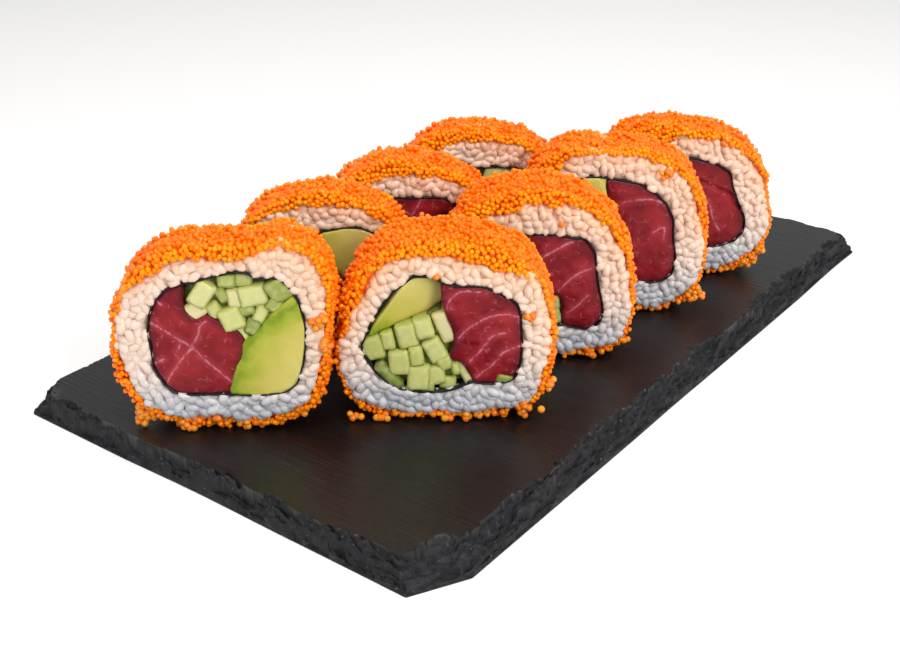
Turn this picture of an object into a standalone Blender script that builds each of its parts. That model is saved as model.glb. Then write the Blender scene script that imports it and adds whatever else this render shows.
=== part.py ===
"""Eight uramaki, rolled inside out and coated with fish roe, in two rows on a knapped slate board.

The board lies along Y with its underside at z = 0 and the origin under its middle. Each roll
stands on its side with its cut faces upright: in a roll's own frame X runs across the cut face,
Y runs from the front face to the back one, and Z is up. Dimensions are in millimetres.
"""

import math
import random

import bmesh
import bpy
import numpy as np
from mathutils import Vector

MM = 0.001
GAP = 0.3  # between solids that touch
SEED = 11

# The slate board
BOARD_WIDTH = 127.0  # along X
BOARD_LENGTH = 221.0  # along Y
BOARD_THICKNESS = 6.3
BOARD_STEP = 8.5  # between the stations along an edge
CORNER_CHIPS = ((7.0, 13.0), (2.5, 2.0), (6.0, 9.0), (1.5, 1.5))  # along X and along Y
CORNER_WEAR = (5.0, 24.0)  # extra inset of the top at a corner, and how far along the sides it fades
KNAP_BANDS = ((0.0, 0.0, 0.5), (2.3, 1.3, 1.2), (4.6, 3.8, 1.9), (6.3, 6.2, 2.0))  # height, inset, wander

# The build of a roll
ROLL_TURN = 36.9  # degrees about Z, from the board's axes to the roll's
MIDDLE = 23.0  # height of a section's middle above the board
STATIONS = 32  # around a section
ROE_DEPTHS = (1.7, 2.0, 2.0, 2.0, 1.7, 3.3, 3.0, 3.3)  # at eight points of the compass, as in ROLLS
ROE_WANDER = 0.35
ROE_ROUND = (1.3, 0.9)  # along the roll and inwards, where the coat turns over onto a cut face
NORI_THICKNESS = 0.5
FAR = 45.0  # beyond any section

# What the nori holds: the point where the fillings meet, and the seams that run out from it.
# Each seam is named for the filling on its anticlockwise side.
WEDGE_LAYOUT = dict(
    meet=(5.5, 0.5),
    seams=(
        ("avocado", ((5.0, -3.0), (3.2, -6.5), (1.5, -12.5))),
        ("cucumber", ((8.5, 2.5), (12.0, 7.0), (17.5, 12.0))),
        ("tuna", ((4.0, 3.0), (0.0, 5.5), (-3.0, 7.0), (-5.0, 5.5), (-8.5, 8.8), (-7.5, 16.0))),
    ),
)
CORNER_LAYOUT = dict(
    meet=(0.0, 7.0),
    seams=(
        ("tuna", ((3.3, -1.0), (1.2, -6.5), (4.2, -6.5), (7.5, -12.5))),
        ("avocado", ((-0.3, 12.0), (0.0, 13.5))),
        ("cucumber", ((-3.5, 4.5), (-12.0, 1.0), (-17.5, -0.5))),
    ),
)
SLIVER_LAYOUT = dict(
    meet=(-6.0, 5.0),
    seams=(
        ("tuna", ((-2.0, -3.0), (3.0, -4.0), (7.0, -4.3), (7.4, -13.0))),
        ("avocado", ((-5.5, 10.0), (-5.0, 13.5))),
        ("cucumber", ((-10.0, 3.5), (-17.5, -0.5))),
    ),
)

# place: the front face's foot on the board. rice and nori: the reach of each outline from the
# section's middle at eight points of the compass, from the right, anticlockwise. turn and shift
# move the fillings inside the nori.
ROLLS = {
    "a1": dict(place=(-9.1, -94.5), length=15.2, layout=WEDGE_LAYOUT, turn=0.0, shift=(0.0, 0.0),
               rice=(23.0, 29.5, 21.2, 23.0, 24.0, 24.0, 20.0, 23.5),
               nori=(19.5, 22.0, 17.0, 18.0, 16.0, 17.5, 13.0, 18.0)),
    "a2": dict(place=(-12.6, -56.2), length=14.0, layout=WEDGE_LAYOUT, turn=60.0, shift=(0.0, 0.0),
               rice=(23.0, 22.5, 20.6, 22.3, 22.3, 25.0, 20.5, 24.0),
               nori=(18.5, 19.0, 13.9, 17.0, 17.0, 18.5, 14.0, 18.5)),
    "a3": dict(place=(-10.0, -24.3), length=15.2, layout=WEDGE_LAYOUT, turn=-85.0, shift=(0.0, 0.0),
               rice=(23.0, 21.7, 19.2, 21.8, 22.8, 25.5, 20.5, 25.0),
               nori=(18.0, 16.8, 13.3, 17.0, 17.5, 19.0, 14.0, 19.0)),
    "a4": dict(place=(-8.8, 7.9), length=15.2, layout=WEDGE_LAYOUT, turn=-25.0, shift=(0.0, 0.0),
               rice=(23.0, 21.8, 20.0, 22.5, 23.5, 25.5, 20.5, 25.0),
               nori=(17.5, 16.0, 12.6, 16.8, 17.5, 19.0, 14.0, 19.0)),
    "b1": dict(place=(28.3, -60.4), length=18.4, layout=CORNER_LAYOUT, turn=0.0, shift=(0.0, 0.0),
               rice=(24.0, 23.5, 19.5, 22.5, 22.5, 26.0, 20.5, 26.0),
               nori=(18.0, 17.0, 13.0, 17.0, 18.0, 18.5, 15.0, 18.0)),
    "b2": dict(place=(28.4, -22.2), length=18.0, layout=SLIVER_LAYOUT, turn=0.0, shift=(0.0, 0.0),
               rice=(23.0, 22.5, 20.0, 21.5, 23.5, 26.0, 21.0, 26.5),
               nori=(15.5, 15.8, 12.5, 15.0, 17.0, 18.5, 14.0, 19.5)),
    "b3": dict(place=(30.9, 13.9), length=15.8, layout=CORNER_LAYOUT, turn=0.0, shift=(-3.5, 2.0),
               rice=(22.5, 23.5, 22.8, 27.0, 23.5, 25.5, 21.0, 25.5),
               nori=(15.0, 15.2, 16.0, 19.0, 18.0, 18.5, 14.3, 18.5)),
    "b4": dict(place=(33.8, 47.1), length=15.8, layout=CORNER_LAYOUT, turn=0.0, shift=(-3.5, -1.0),
               rice=(22.6, 21.5, 19.2, 24.2, 26.0, 25.5, 21.0, 25.5),
               nori=(15.5, 14.5, 13.3, 16.0, 17.5, 18.5, 14.3, 19.0)),
}

# Base colour, roughness and share of light scattered under the surface
FINISHES = {
    "slate": ((0.024, 0.025, 0.027), 0.62, 0.0),
    "roe": ((0.95, 0.25, 0.02), 0.18, 0.4),
    "rice": ((0.82, 0.74, 0.66), 0.32, 0.5),
    "nori": ((0.006, 0.010, 0.007), 0.45, 0.0),
    "tuna": ((0.28, 0.020, 0.030), 0.28, 0.4),
    "avocado": ((0.62, 0.60, 0.14), 0.42, 0.3),
    "cucumber": ((0.48, 0.60, 0.22), 0.22, 0.4),
}


def clear_scene():
    for obj in list(bpy.data.objects):
        bpy.data.objects.remove(obj)


def make_material(name):
    colour, roughness, scatter = FINISHES[name]
    material = bpy.data.materials.new(name)
    material.use_nodes = True
    shader = material.node_tree.nodes["Principled BSDF"]
    shader.inputs["Base Color"].default_value = (*colour, 1.0)
    shader.inputs["Roughness"].default_value = roughness
    shader.inputs["Metallic"].default_value = 0.0
    shader.inputs["Subsurface Weight"].default_value = scatter
    shader.inputs["Subsurface Scale"].default_value = 0.002
    return material


def add_object(name, material, shape):
    """An object from a bmesh in millimetres, which it frees."""
    bmesh.ops.scale(shape, vec=(MM, MM, MM), verts=shape.verts)
    bmesh.ops.recalc_face_normals(shape, faces=shape.faces)
    mesh = bpy.data.meshes.new(name)
    shape.to_mesh(mesh)
    shape.free()
    mesh.materials.append(material)
    mesh.shade_smooth()
    mesh.set_sharp_from_angle(angle=math.radians(35))
    obj = bpy.data.objects.new(name, mesh)
    bpy.context.scene.collection.objects.link(obj)
    return obj


def loft(rings):
    """A bmesh skin through closed rings of points, with a face over the first and the last."""
    shape = bmesh.new()
    rows = [[shape.verts.new(point) for point in ring] for ring in rings]
    for lower, upper in zip(rows, rows[1:]):
        for i in range(len(lower)):
            j = (i + 1) % len(lower)
            shape.faces.new((lower[i], lower[j], upper[j], upper[i]))
    shape.faces.new(reversed(rows[0]))
    shape.faces.new(rows[-1])
    return shape


def tube(rings):
    """A bmesh skin through closed rings of points that ends where it started."""
    shape = bmesh.new()
    rows = [[shape.verts.new(point) for point in ring] for ring in rings]
    for lower, upper in zip(rows, rows[1:] + rows[:1]):
        for i in range(len(lower)):
            j = (i + 1) % len(lower)
            shape.faces.new((lower[i], lower[j], upper[j], upper[i]))
    return shape


def wander(count, size, rng):
    """A smooth closed run of uneven offsets between -size and size."""
    angles = np.linspace(0.0, 2.0 * math.pi, count, endpoint=False)
    total = np.zeros(count)
    for waves in (3, 5, 8, 13):
        total += math.sqrt(3.0 / waves) * np.sin(waves * angles + rng.uniform(0.0, 2.0 * math.pi))
    return size * total / np.abs(total).max()


# The board


def board_outline():
    """The underside's outline as points and inward normals, its four corners chipped off."""
    half_x = BOARD_WIDTH / 2
    half_y = BOARD_LENGTH / 2
    corners = []
    quadrants = ((1, -1), (1, 1), (-1, 1), (-1, -1))
    for (sign_x, sign_y), (chip_x, chip_y) in zip(quadrants, CORNER_CHIPS):
        along_x = Vector((sign_x * (half_x - chip_x), sign_y * half_y))
        along_y = Vector((sign_x * half_x, sign_y * (half_y - chip_y)))
        corners += [along_x, along_y] if sign_x * sign_y < 0 else [along_y, along_x]
    outline = []
    for start, end in zip(corners, corners[1:] + corners[:1]):
        side = end - start
        inward = Vector((-side.y, side.x)).normalized()
        steps = max(1, round(side.length / BOARD_STEP))
        outline += [(start + side * (i / steps), inward) for i in range(steps)]
    return outline


def corner_wear(point):
    """From 1 at the nearest corner of the board down to 0 along its sides."""
    away = Vector((BOARD_WIDTH / 2 - abs(point.x), BOARD_LENGTH / 2 - abs(point.y)))
    return max(0.0, 1.0 - away.length / CORNER_WEAR[1])


def make_board(material):
    """The slate: a flat underside and top, and edges knapped back in shallow ledges."""
    rng = random.Random(SEED)
    outline = board_outline()
    rings = []
    for height, inset, ragged in KNAP_BANDS:
        offsets = wander(len(outline), ragged, rng)
        ring = []
        for (point, inward), offset in zip(outline, offsets):
            worn = CORNER_WEAR[0] * corner_wear(point) * height / BOARD_THICKNESS
            place = point + inward * max(0.0, inset + offset + worn)
            ring.append((place.x, place.y, height))
        rings.append(ring)
    return add_object("slate_board", material, loft(rings))


# The rolls


def reach_around(reaches):
    """The reach at every station, on a smooth closed curve through the compass points."""
    count = len(reaches)
    result = []
    for station in range(STATIONS):
        place = station * count / STATIONS
        i = int(place)
        t = place - i
        before, start, end, after = (reaches[(i + k) % count] for k in (-1, 0, 1, 2))
        slope_in = (end - before) / 2
        slope_out = (after - start) / 2
        curve = (2 * t**3 - 3 * t**2 + 1) * start + (t**3 - 2 * t**2 + t) * slope_in
        curve += (3 * t**2 - 2 * t**3) * end + (t**3 - t**2) * slope_out
        result.append(curve)
    return np.array(result)


def ring_at(reach, depth):
    """A section's outline at a depth along the roll, kept off the board."""
    angles = np.linspace(0.0, 2.0 * math.pi, STATIONS, endpoint=False)
    height = np.maximum(MIDDLE + reach * np.sin(angles), GAP)
    return [(x, depth, z) for x, z in zip(reach * np.cos(angles), height)]


def make_layer(name, material, outer, inner, length):
    """A layer of even length between two outlines, open at both cut faces."""
    rings = [ring_at(outer, 0.0), ring_at(outer, length), ring_at(inner, length), ring_at(inner, 0.0)]
    return add_object(name, material, tube(rings))


def make_coat(name, material, outer, inner, length):
    """The roe: a layer whose outer rims turn over onto the cut faces."""
    along, inwards = ROE_ROUND
    rim = outer - inwards
    rings = [ring_at(rim, 0.0), ring_at(outer, along), ring_at(outer, length - along), ring_at(rim, length)]
    rings += [ring_at(inner, length), ring_at(inner, 0.0)]
    return add_object(name, material, tube(rings))


def placed(point, roll):
    """A point of a layout after the roll's own turn and shift."""
    angle = math.radians(roll["turn"])
    x = point[0] * math.cos(angle) - point[1] * math.sin(angle) + roll["shift"][0]
    z = point[0] * math.sin(angle) + point[1] * math.cos(angle) + roll["shift"][1]
    return Vector((x, z))


def filling_outline(roll, index):
    """The outline of one filling, between two seams and out past the nori."""
    seams = roll["layout"]["seams"]
    meet = placed(roll["layout"]["meet"], roll)
    first = [placed(point, roll) for point in seams[index][1]]
    second = [placed(point, roll) for point in seams[(index + 1) % len(seams)][1]]
    start = math.atan2((first[-1] - meet).y, (first[-1] - meet).x)
    end = math.atan2((second[-1] - meet).y, (second[-1] - meet).x)
    sweep = (end - start) % (2.0 * math.pi)
    steps = max(2, math.ceil(sweep / math.radians(40)))
    arc = []
    for i in range(steps + 1):
        angle = start + sweep * i / steps
        arc.append(meet + FAR * Vector((math.cos(angle), math.sin(angle))))
    return [meet] + first + arc + second[::-1]


def make_filling(name, material, roll, index, plug):
    """One filling: the block between its seams, trimmed to the room inside the nori."""
    shape = bmesh.new()
    corners = [shape.verts.new((p.x, 0.0, MIDDLE + p.y)) for p in filling_outline(roll, index)]
    face = shape.faces.new(corners)
    bmesh.ops.inset_region(shape, faces=[face], thickness=GAP / 2, use_even_offset=True)
    bmesh.ops.delete(shape, geom=[f for f in shape.faces if f is not face], context="FACES")
    grown = bmesh.ops.extrude_face_region(shape, geom=[face])
    moved = [item for item in grown["geom"] if isinstance(item, bmesh.types.BMVert)]
    bmesh.ops.translate(shape, vec=(0.0, roll["length"] + 2.0, 0.0), verts=moved)
    bmesh.ops.translate(shape, vec=(0.0, -1.0, 0.0), verts=shape.verts)
    obj = add_object(name, material, shape)
    trim = obj.modifiers.new("trim to the nori", "BOOLEAN")
    trim.operation = "INTERSECT"
    trim.solver = "EXACT"
    trim.object = plug
    return obj


def make_roll(key, roll, materials, rng):
    """One roll: roe, rice and nori around tuna, avocado and cucumber, under one empty."""
    length = roll["length"]
    rice_outer = reach_around(roll["rice"])
    nori_outer = reach_around(roll["nori"])
    roe_outer = rice_outer + reach_around(ROE_DEPTHS) + wander(STATIONS, ROE_WANDER, rng)
    nori_inner = nori_outer - NORI_THICKNESS
    name = f"roll_{key}"
    plug = add_object(f"{name}_room", materials["nori"], loft(
        [ring_at(nori_inner - GAP, 0.0), ring_at(nori_inner - GAP, length)]))
    plug.hide_render = True
    plug.display_type = "WIRE"
    pieces = [
        plug,
        make_coat(f"{name}_roe", materials["roe"], roe_outer, rice_outer + GAP, length),
        make_layer(f"{name}_rice", materials["rice"], rice_outer, nori_outer + GAP, length),
        make_layer(f"{name}_nori", materials["nori"], nori_outer, nori_inner, length),
    ]
    for index, (filling, _) in enumerate(roll["layout"]["seams"]):
        pieces.append(make_filling(f"{name}_{filling}", materials[filling], roll, index, plug))
    stand = bpy.data.objects.new(name, None)
    bpy.context.scene.collection.objects.link(stand)
    stand.location = (roll["place"][0] * MM, roll["place"][1] * MM, BOARD_THICKNESS * MM)
    stand.rotation_euler = (0.0, 0.0, math.radians(ROLL_TURN))
    for piece in pieces:
        piece.parent = stand
    return stand


clear_scene()
finishes = {name: make_material(name) for name in FINISHES}
make_board(finishes["slate"])
uneven = random.Random(SEED)
for roll_key, roll_spec in ROLLS.items():
    make_roll(roll_key, roll_spec, finishes, uneven)
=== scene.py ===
import math
import random

import bmesh
import bpy
import numpy as np
from mathutils import Matrix, Vector, noise
from mathutils.geometry import delaunay_2d_cdt


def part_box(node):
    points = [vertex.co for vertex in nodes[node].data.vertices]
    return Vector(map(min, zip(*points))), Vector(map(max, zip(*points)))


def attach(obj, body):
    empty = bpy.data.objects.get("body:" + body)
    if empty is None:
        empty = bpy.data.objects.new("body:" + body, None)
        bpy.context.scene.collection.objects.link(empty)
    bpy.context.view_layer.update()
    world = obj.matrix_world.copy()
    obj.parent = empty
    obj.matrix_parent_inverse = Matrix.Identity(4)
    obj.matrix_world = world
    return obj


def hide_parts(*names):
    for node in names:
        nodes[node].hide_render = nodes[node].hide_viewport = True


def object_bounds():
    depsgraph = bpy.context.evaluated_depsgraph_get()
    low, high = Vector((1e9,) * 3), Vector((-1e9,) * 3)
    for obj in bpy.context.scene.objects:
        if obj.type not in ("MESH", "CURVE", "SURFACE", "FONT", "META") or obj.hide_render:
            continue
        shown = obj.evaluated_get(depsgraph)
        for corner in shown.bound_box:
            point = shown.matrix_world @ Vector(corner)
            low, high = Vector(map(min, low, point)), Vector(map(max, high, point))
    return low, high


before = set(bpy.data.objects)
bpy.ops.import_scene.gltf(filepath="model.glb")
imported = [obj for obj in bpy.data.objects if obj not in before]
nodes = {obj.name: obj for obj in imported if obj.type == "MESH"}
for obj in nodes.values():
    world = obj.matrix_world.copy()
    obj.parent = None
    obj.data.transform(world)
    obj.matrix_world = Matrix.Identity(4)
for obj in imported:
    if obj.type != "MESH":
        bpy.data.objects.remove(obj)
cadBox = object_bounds()

mm = 0.001
fullTurn = 2.0 * math.pi
scene = bpy.context.scene
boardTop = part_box("slate_board")[1].z / mm


# small helpers for meshes, materials and node trees

def linear(hexColour):
    values = [int(hexColour[i:i + 2], 16) / 255 for i in (1, 3, 5)]
    return tuple(v / 12.92 if v <= 0.04045 else ((v + 0.055) / 1.055) ** 2.4 for v in values) + (1.0,)


def addNode(tree, kind, inputs=None, **settings):
    made = tree.nodes.new(kind)
    for name, value in settings.items():
        setattr(made, name, value)
    for name, value in (inputs or {}).items():
        if isinstance(value, bpy.types.NodeSocket):
            tree.links.new(value, made.inputs[name])
        else:
            made.inputs[name].default_value = value
    return made


def newMaterial(name):
    material = bpy.data.materials.new(name)
    material.use_nodes = True
    tree = material.node_tree
    tree.nodes.clear()
    return material, tree


def finishMaterial(tree, shader):
    addNode(tree, "ShaderNodeOutputMaterial", {"Surface": shader.outputs[0]})


def ramp(tree, factor, stops):
    made = addNode(tree, "ShaderNodeValToRGB", {"Fac": factor})
    line = made.color_ramp
    while len(line.elements) < len(stops):
        line.elements.new(0.5)
    for element, (place, colour) in zip(line.elements, stops):
        element.position = place
        element.color = linear(colour)
    return made.outputs["Color"]


def mixColour(tree, factor, first, second, blend="MIX"):
    made = addNode(tree, "ShaderNodeMix", {0: factor, 6: first, 7: second}, data_type="RGBA", blend_type=blend)
    return made.outputs[2]


def between(tree, value, low, high, toLow=0.0, toHigh=1.0):
    made = addNode(tree, "ShaderNodeMapRange",
                   {"Value": value, "From Min": low, "From Max": high, "To Min": toLow, "To Max": toHigh},
                   interpolation_type="SMOOTHSTEP")
    return made.outputs["Result"]


def meshPiece(name, points, faces, material, attributes=None, sharpAngle=None):
    # points in metres in the object's own frame, so the finished object sits at the origin
    mesh = bpy.data.meshes.new(name)
    mesh.from_pydata([tuple(map(float, p)) for p in points], [], [tuple(map(int, f)) for f in faces])
    mesh.validate()
    for attribute, values in (attributes or {}).items():
        layer = mesh.attributes.new(attribute, "FLOAT", "POINT")
        layer.data.foreach_set("value", np.asarray(values, np.float32))
    mesh.materials.append(material)
    mesh.shade_smooth()
    if sharpAngle:
        mesh.set_sharp_from_angle(angle=math.radians(sharpAngle))
    piece = bpy.data.objects.new(name, mesh)
    scene.collection.objects.link(piece)
    return piece


def joinPieces(name, pieces):
    # one mesh of several, their attributes kept
    shape = bmesh.new()
    for piece in pieces:
        shape.from_mesh(piece.data)
    mesh = bpy.data.meshes.new(name)
    shape.to_mesh(mesh)
    shape.free()
    mesh.materials.append(pieces[0].data.materials[-1])
    mesh.polygons.foreach_set("material_index", np.zeros(len(mesh.polygons), np.int32))
    joined = bpy.data.objects.new(name, mesh)
    scene.collection.objects.link(joined)
    for piece in pieces:
        bpy.data.objects.remove(piece)
    return joined


def dropPiece(piece):
    bpy.data.objects.remove(piece)


def wobble(point, scale, depth=2):
    return noise.fractal(Vector(point) / scale, 1.0, 2.0, depth)


# camera and light

view = {"lens": 51.2, "place": (0.1852, -0.2672, 0.1642), "down": 27.465, "turn": 36.9}

cameraData = bpy.data.cameras.new("camera")
cameraData.lens = view["lens"]
cameraData.sensor_width = 36.0
cameraData.clip_start = 0.01
camera = bpy.data.objects.new("camera", cameraData)
camera.location = view["place"]
camera.rotation_euler = (math.radians(90.0 - view["down"]), 0.0, math.radians(view["turn"]))
scene.collection.objects.link(camera)
scene.camera = camera

studio = {
    "skyColour": "#F8F8FA", "skyStrength": 0.6,
    "lamps": (  # name, place in metres, size, watts, colour
        ("overhead", (0.02, -0.02, 0.80), (0.40, 0.40), 2.6, "#FFFBF6"),
        ("spark", (0.12, -0.18, 0.60), (0.05, 0.05), 0.7, "#FFFFFF"),
        ("right", (0.60, -0.25, 0.42), (0.25, 0.30), 2.8, "#FFFFFF"),
        ("front", (-0.05, -0.80, 0.45), (0.30, 0.25), 0.4, "#FFFFFF"),
    ),
    "floorColour": "#F6F6F5", "floorSize": 3.0,
}


def addLamp(name, place, size, power, colour):
    data = bpy.data.lights.new(name, "AREA")
    data.shape = "RECTANGLE"
    data.size, data.size_y = size
    data.energy = power
    data.color = linear(colour)[:3]
    lamp = bpy.data.objects.new(name, data)
    lamp.location = place
    lamp.rotation_euler = (Vector((0.0, 0.0, 0.02)) - Vector(place)).to_track_quat("-Z", "Y").to_euler()
    scene.collection.objects.link(lamp)


for lampFacts in studio["lamps"]:
    addLamp(*lampFacts)
world = bpy.data.worlds.new("studio")
world.use_nodes = True
background = world.node_tree.nodes["Background"]
background.inputs["Color"].default_value = linear(studio["skyColour"])
background.inputs["Strength"].default_value = studio["skyStrength"]
scene.world = world
scene.view_settings.view_transform = "Standard"

# painted board: a matt pale ground with a barely uneven roll-on coat
floorPaint, tree = newMaterial("matt_paint_pale")
place = addNode(tree, "ShaderNodeTexCoord")
grit = addNode(tree, "ShaderNodeTexNoise", {"Vector": place.outputs["Object"], "Scale": 400.0})
finishMaterial(tree, addNode(tree, "ShaderNodeBsdfPrincipled", {
    "Base Color": linear(studio["floorColour"]),
    "Roughness": between(tree, grit.outputs["Fac"], 0.3, 0.7, 0.75, 0.85)}))
half = studio["floorSize"] / 2
floor = meshPiece("floor", [(-half, -half, -0.0001), (half, -half, -0.0001), (half, half, -0.0001),
                            (-half, half, -0.0001)], [(0, 1, 2, 3)], floorPaint)
print("camera, light and floor are in place")


# how each roll stands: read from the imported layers

rollKeys = ("a1", "a2", "a3", "a4", "b1", "b2", "b3", "b4")
rollTurn = math.radians(36.9)  # the rolls' own axes against the board's
middleHeight = 23.0  # a section's middle above the board
around = 360  # samples of a section's outline
noriThickness = 0.35

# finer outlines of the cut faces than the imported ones: across, and height above the board
traced = {
    "a1": {
        "rice": ((-20, 36.5), (-17, 38), (-13.5, 40.5), (-10, 43), (-5, 44), (0, 43.5), (5, 44), (9, 44.5),
                 (10.5, 46.3), (14, 47.5), (18, 46), (21.5, 43.5), (23, 41), (24, 37), (24, 32), (23.5, 28),
                 (23, 22), (21.5, 17), (20.5, 12), (18, 7), (14, 5), (8, 3.5), (3, 2.8), (-5, 4), (-10, 3),
                 (-15, 5), (-19.5, 8), (-21, 12), (-23, 18), (-24, 22), (-23.5, 28), (-22.5, 33)),
        "nori": ((-16.5, 26), (-16, 22), (-16, 17), (-14, 13), (-12, 10.5), (-8.5, 9.8), (0, 10), (8, 9.8),
                 (14, 10.5), (17, 13), (18.5, 18), (19.3, 23), (19.5, 28), (18.5, 33), (17, 36.5),
                 (14.5, 39.5), (12, 39.7), (10, 39), (7, 41), (4, 41), (0, 40.2), (-4, 39), (-7, 38.3),
                 (-11, 37.3), (-13.5, 34.5), (-15.5, 31))},
    "b1": {
        "rice": ((-24.5, 20), (-24.3, 14), (-23, 9), (-20, 5.5), (-17, 3.5), (-12, 2.5), (-7, 1.5), (-2, 2.5),
                 (4, 2), (8, 1.8), (12, 3.3), (16, 3.2), (20, 5), (22, 9), (23.5, 15), (24.3, 20), (24, 26),
                 (23, 31), (22.3, 35), (20, 38), (14, 39), (10, 40), (5, 41), (0, 42.5), (-5, 42.3),
                 (-10, 41.5), (-13, 41), (-16, 37), (-19, 31), (-21, 28), (-22, 24)),
        "nori": ((-19.5, 20), (-18, 16.5), (-16, 13), (-13, 10), (-10, 8.5), (-5, 7.8), (0, 8), (3.5, 9),
                 (6, 10.5), (10, 10), (14, 10.3), (16.5, 11.5), (17.8, 15), (18.2, 21), (17.7, 27), (17, 31),
                 (13, 33.5), (9, 35.3), (3, 35.5), (0, 36.2), (-3, 37.8), (-7, 37.8), (-11, 34.5),
                 (-14, 31), (-17, 26), (-18.5, 22))},
    "b2": {
        "rice": ((-24.5, 20), (-24.3, 14), (-23, 9), (-20, 5.5), (-17, 3.5), (-12, 2.5), (-7, 1.5), (0, 1.5),
                 (8, 1.5), (12, 2.5), (16, 3), (20, 4), (22, 6), (23.5, 11), (24.3, 15), (23.5, 19),
                 (22.5, 25), (21.5, 30), (19.5, 32), (17.5, 37), (14, 38.8), (12.5, 41), (9, 42.5),
                 (3, 42.5), (-3, 43), (-7, 41), (-13, 39), (-18, 34), (-21, 28), (-23, 24)),
        "nori": ((-4, 35), (0, 35.3), (5, 35), (9, 34), (12, 34), (14.5, 30), (15, 26), (16, 20), (17, 16),
                 (17.3, 13), (16, 10), (13, 8.5), (9, 9.5), (6, 10), (0, 9), (-6, 8), (-12, 9), (-17, 14),
                 (-18, 20), (-16, 27), (-12, 32), (-8, 34.5))},
    "b3": {
        "rice": ((-14, 45), (-8, 46.8), (-2, 46), (3, 45.5), (7, 44.5), (12, 42.5), (16, 40.5), (18.5, 36.5),
                 (20.5, 31), (22, 25), (23.3, 20), (23.5, 15), (22.5, 10), (20, 7), (16, 3.5), (12, 1.2),
                 (8, 2), (0, 1.5), (-10, 2), (-18, 5), (-23, 11), (-24, 20), (-22, 30), (-19, 39)),
        "nori": ((-10, 40), (-5, 39.8), (0, 39), (5, 38), (9, 35.5), (12.5, 32), (14.5, 28), (15, 22),
                 (16, 17), (15.5, 12), (13, 9.5), (9, 9), (6, 9.5), (0, 8.5), (-8, 8), (-14, 10), (-17, 15),
                 (-18, 22), (-17, 30), (-14, 36))},
    "b4": {
        "rice": ((-6, 40.5), (-3, 43), (0, 42), (4, 41), (7, 42), (12, 40), (15, 38), (18, 34.5), (21, 30),
                 (22.5, 25), (24, 20), (24.3, 15.5), (23, 10), (20, 7.5), (17, 5), (14, 3), (9, 1.5),
                 (0, 1.5), (-10, 2), (-18, 5), (-23, 11), (-24, 20), (-22, 28), (-17, 35), (-11, 39)),
        "nori": ((-1, 36.5), (3, 36), (8, 34.5), (12, 32), (13, 28), (15, 23), (17.5, 18), (17.5, 14),
                 (15, 10.8), (10, 9), (0, 8.5), (-8, 8), (-14, 10), (-17, 15), (-18, 22), (-15, 29),
                 (-10, 34), (-5, 36))},
}


def ownFrame(points):
    # board millimetres to the turned axes: across a cut face, along the roll, up
    c, s = math.cos(rollTurn), math.sin(rollTurn)
    return np.column_stack((points[:, 0] * c + points[:, 1] * s, points[:, 1] * c - points[:, 0] * s,
                            points[:, 2]))


def nodePoints(name):
    mesh = nodes[name].data
    points = np.empty(len(mesh.vertices) * 3, np.float32)
    mesh.vertices.foreach_get("co", points)
    edges = np.empty(len(mesh.edges) * 2, np.int32)
    mesh.edges.foreach_get("vertices", edges)
    return ownFrame(points.reshape(-1, 3).astype(float) / mm), edges.reshape(-1, 2)


def crossings(points, edges, middle):
    # distance from the middle to the nearest and farthest edge in each direction
    flat = points[:, (0, 2)] - middle
    start, run = flat[edges[:, 0]], flat[edges[:, 1]] - flat[edges[:, 0]]
    near, far = np.full(around, np.inf), np.zeros(around)
    for i in range(around):
        angle = fullTurn * (i + 0.013) / around
        ray = np.array((math.cos(angle), math.sin(angle)))
        bend = ray[0] * run[:, 1] - ray[1] * run[:, 0]
        with np.errstate(divide="ignore", invalid="ignore"):
            reach = (start[:, 0] * run[:, 1] - start[:, 1] * run[:, 0]) / bend
            share = (start[:, 0] * ray[1] - start[:, 1] * ray[0]) / bend
        hit = (np.abs(bend) > 1e-9) & (reach > 0) & (share > -1e-4) & (share < 1 + 1e-4)
        near[i], far[i] = reach[hit].min(), reach[hit].max()
    return near, far


def soften(reach, width):
    # evens out the corners between the stations of a packed outline
    kernel = np.hanning(2 * width + 3)[1:-1]
    padded = np.concatenate((reach[-width:], reach, reach[:width]))
    return np.convolve(padded, kernel / kernel.sum(), "valid")


def reachOf(outline):
    points = np.array([(across, 0.0, height) for across, height in outline], float)
    count = len(points)
    edges = np.array([(i, (i + 1) % count) for i in range(count)])
    return crossings(points, edges, np.array((0.0, middleHeight)))[1]


def readRoll(key):
    noriPoints, noriEdges = nodePoints(f"roll_{key}_nori")
    front, back = noriPoints[:, 1].min(), noriPoints[:, 1].max()
    lips = np.unique(np.round(noriPoints[noriPoints[:, 1] < front + 0.01], 3), axis=0)
    columns, counts = np.unique(np.round(lips[:, 0], 2), return_counts=True)
    middle = np.array((columns[counts.argmax()], boardTop + middleHeight))  # four corners stand over it
    noriInner, noriOuter = crossings(noriPoints, noriEdges, middle)
    riceOuter = crossings(*nodePoints(f"roll_{key}_rice"), middle)[1]
    roeOuter = crossings(*nodePoints(f"roll_{key}_roe"), middle)[1]
    packedInner = soften(noriInner, 5)
    if key in traced:
        noriOuter, riceOuter = reachOf(traced[key]["nori"]), reachOf(traced[key]["rice"])
    noriOuter = soften(noriOuter, 4)
    riceOuter = np.maximum(soften(riceOuter, 3), noriOuter + 1.2)
    return {
        "key": key, "middle": middle, "front": front, "length": back - front, "packedInner": packedInner,
        "noriInner": noriOuter - noriThickness, "noriOuter": noriOuter, "rice": riceOuter,
        "roe": np.maximum(soften(roeOuter, 4), riceOuter + 0.4), "corners": int(counts.max()),
    }


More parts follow.
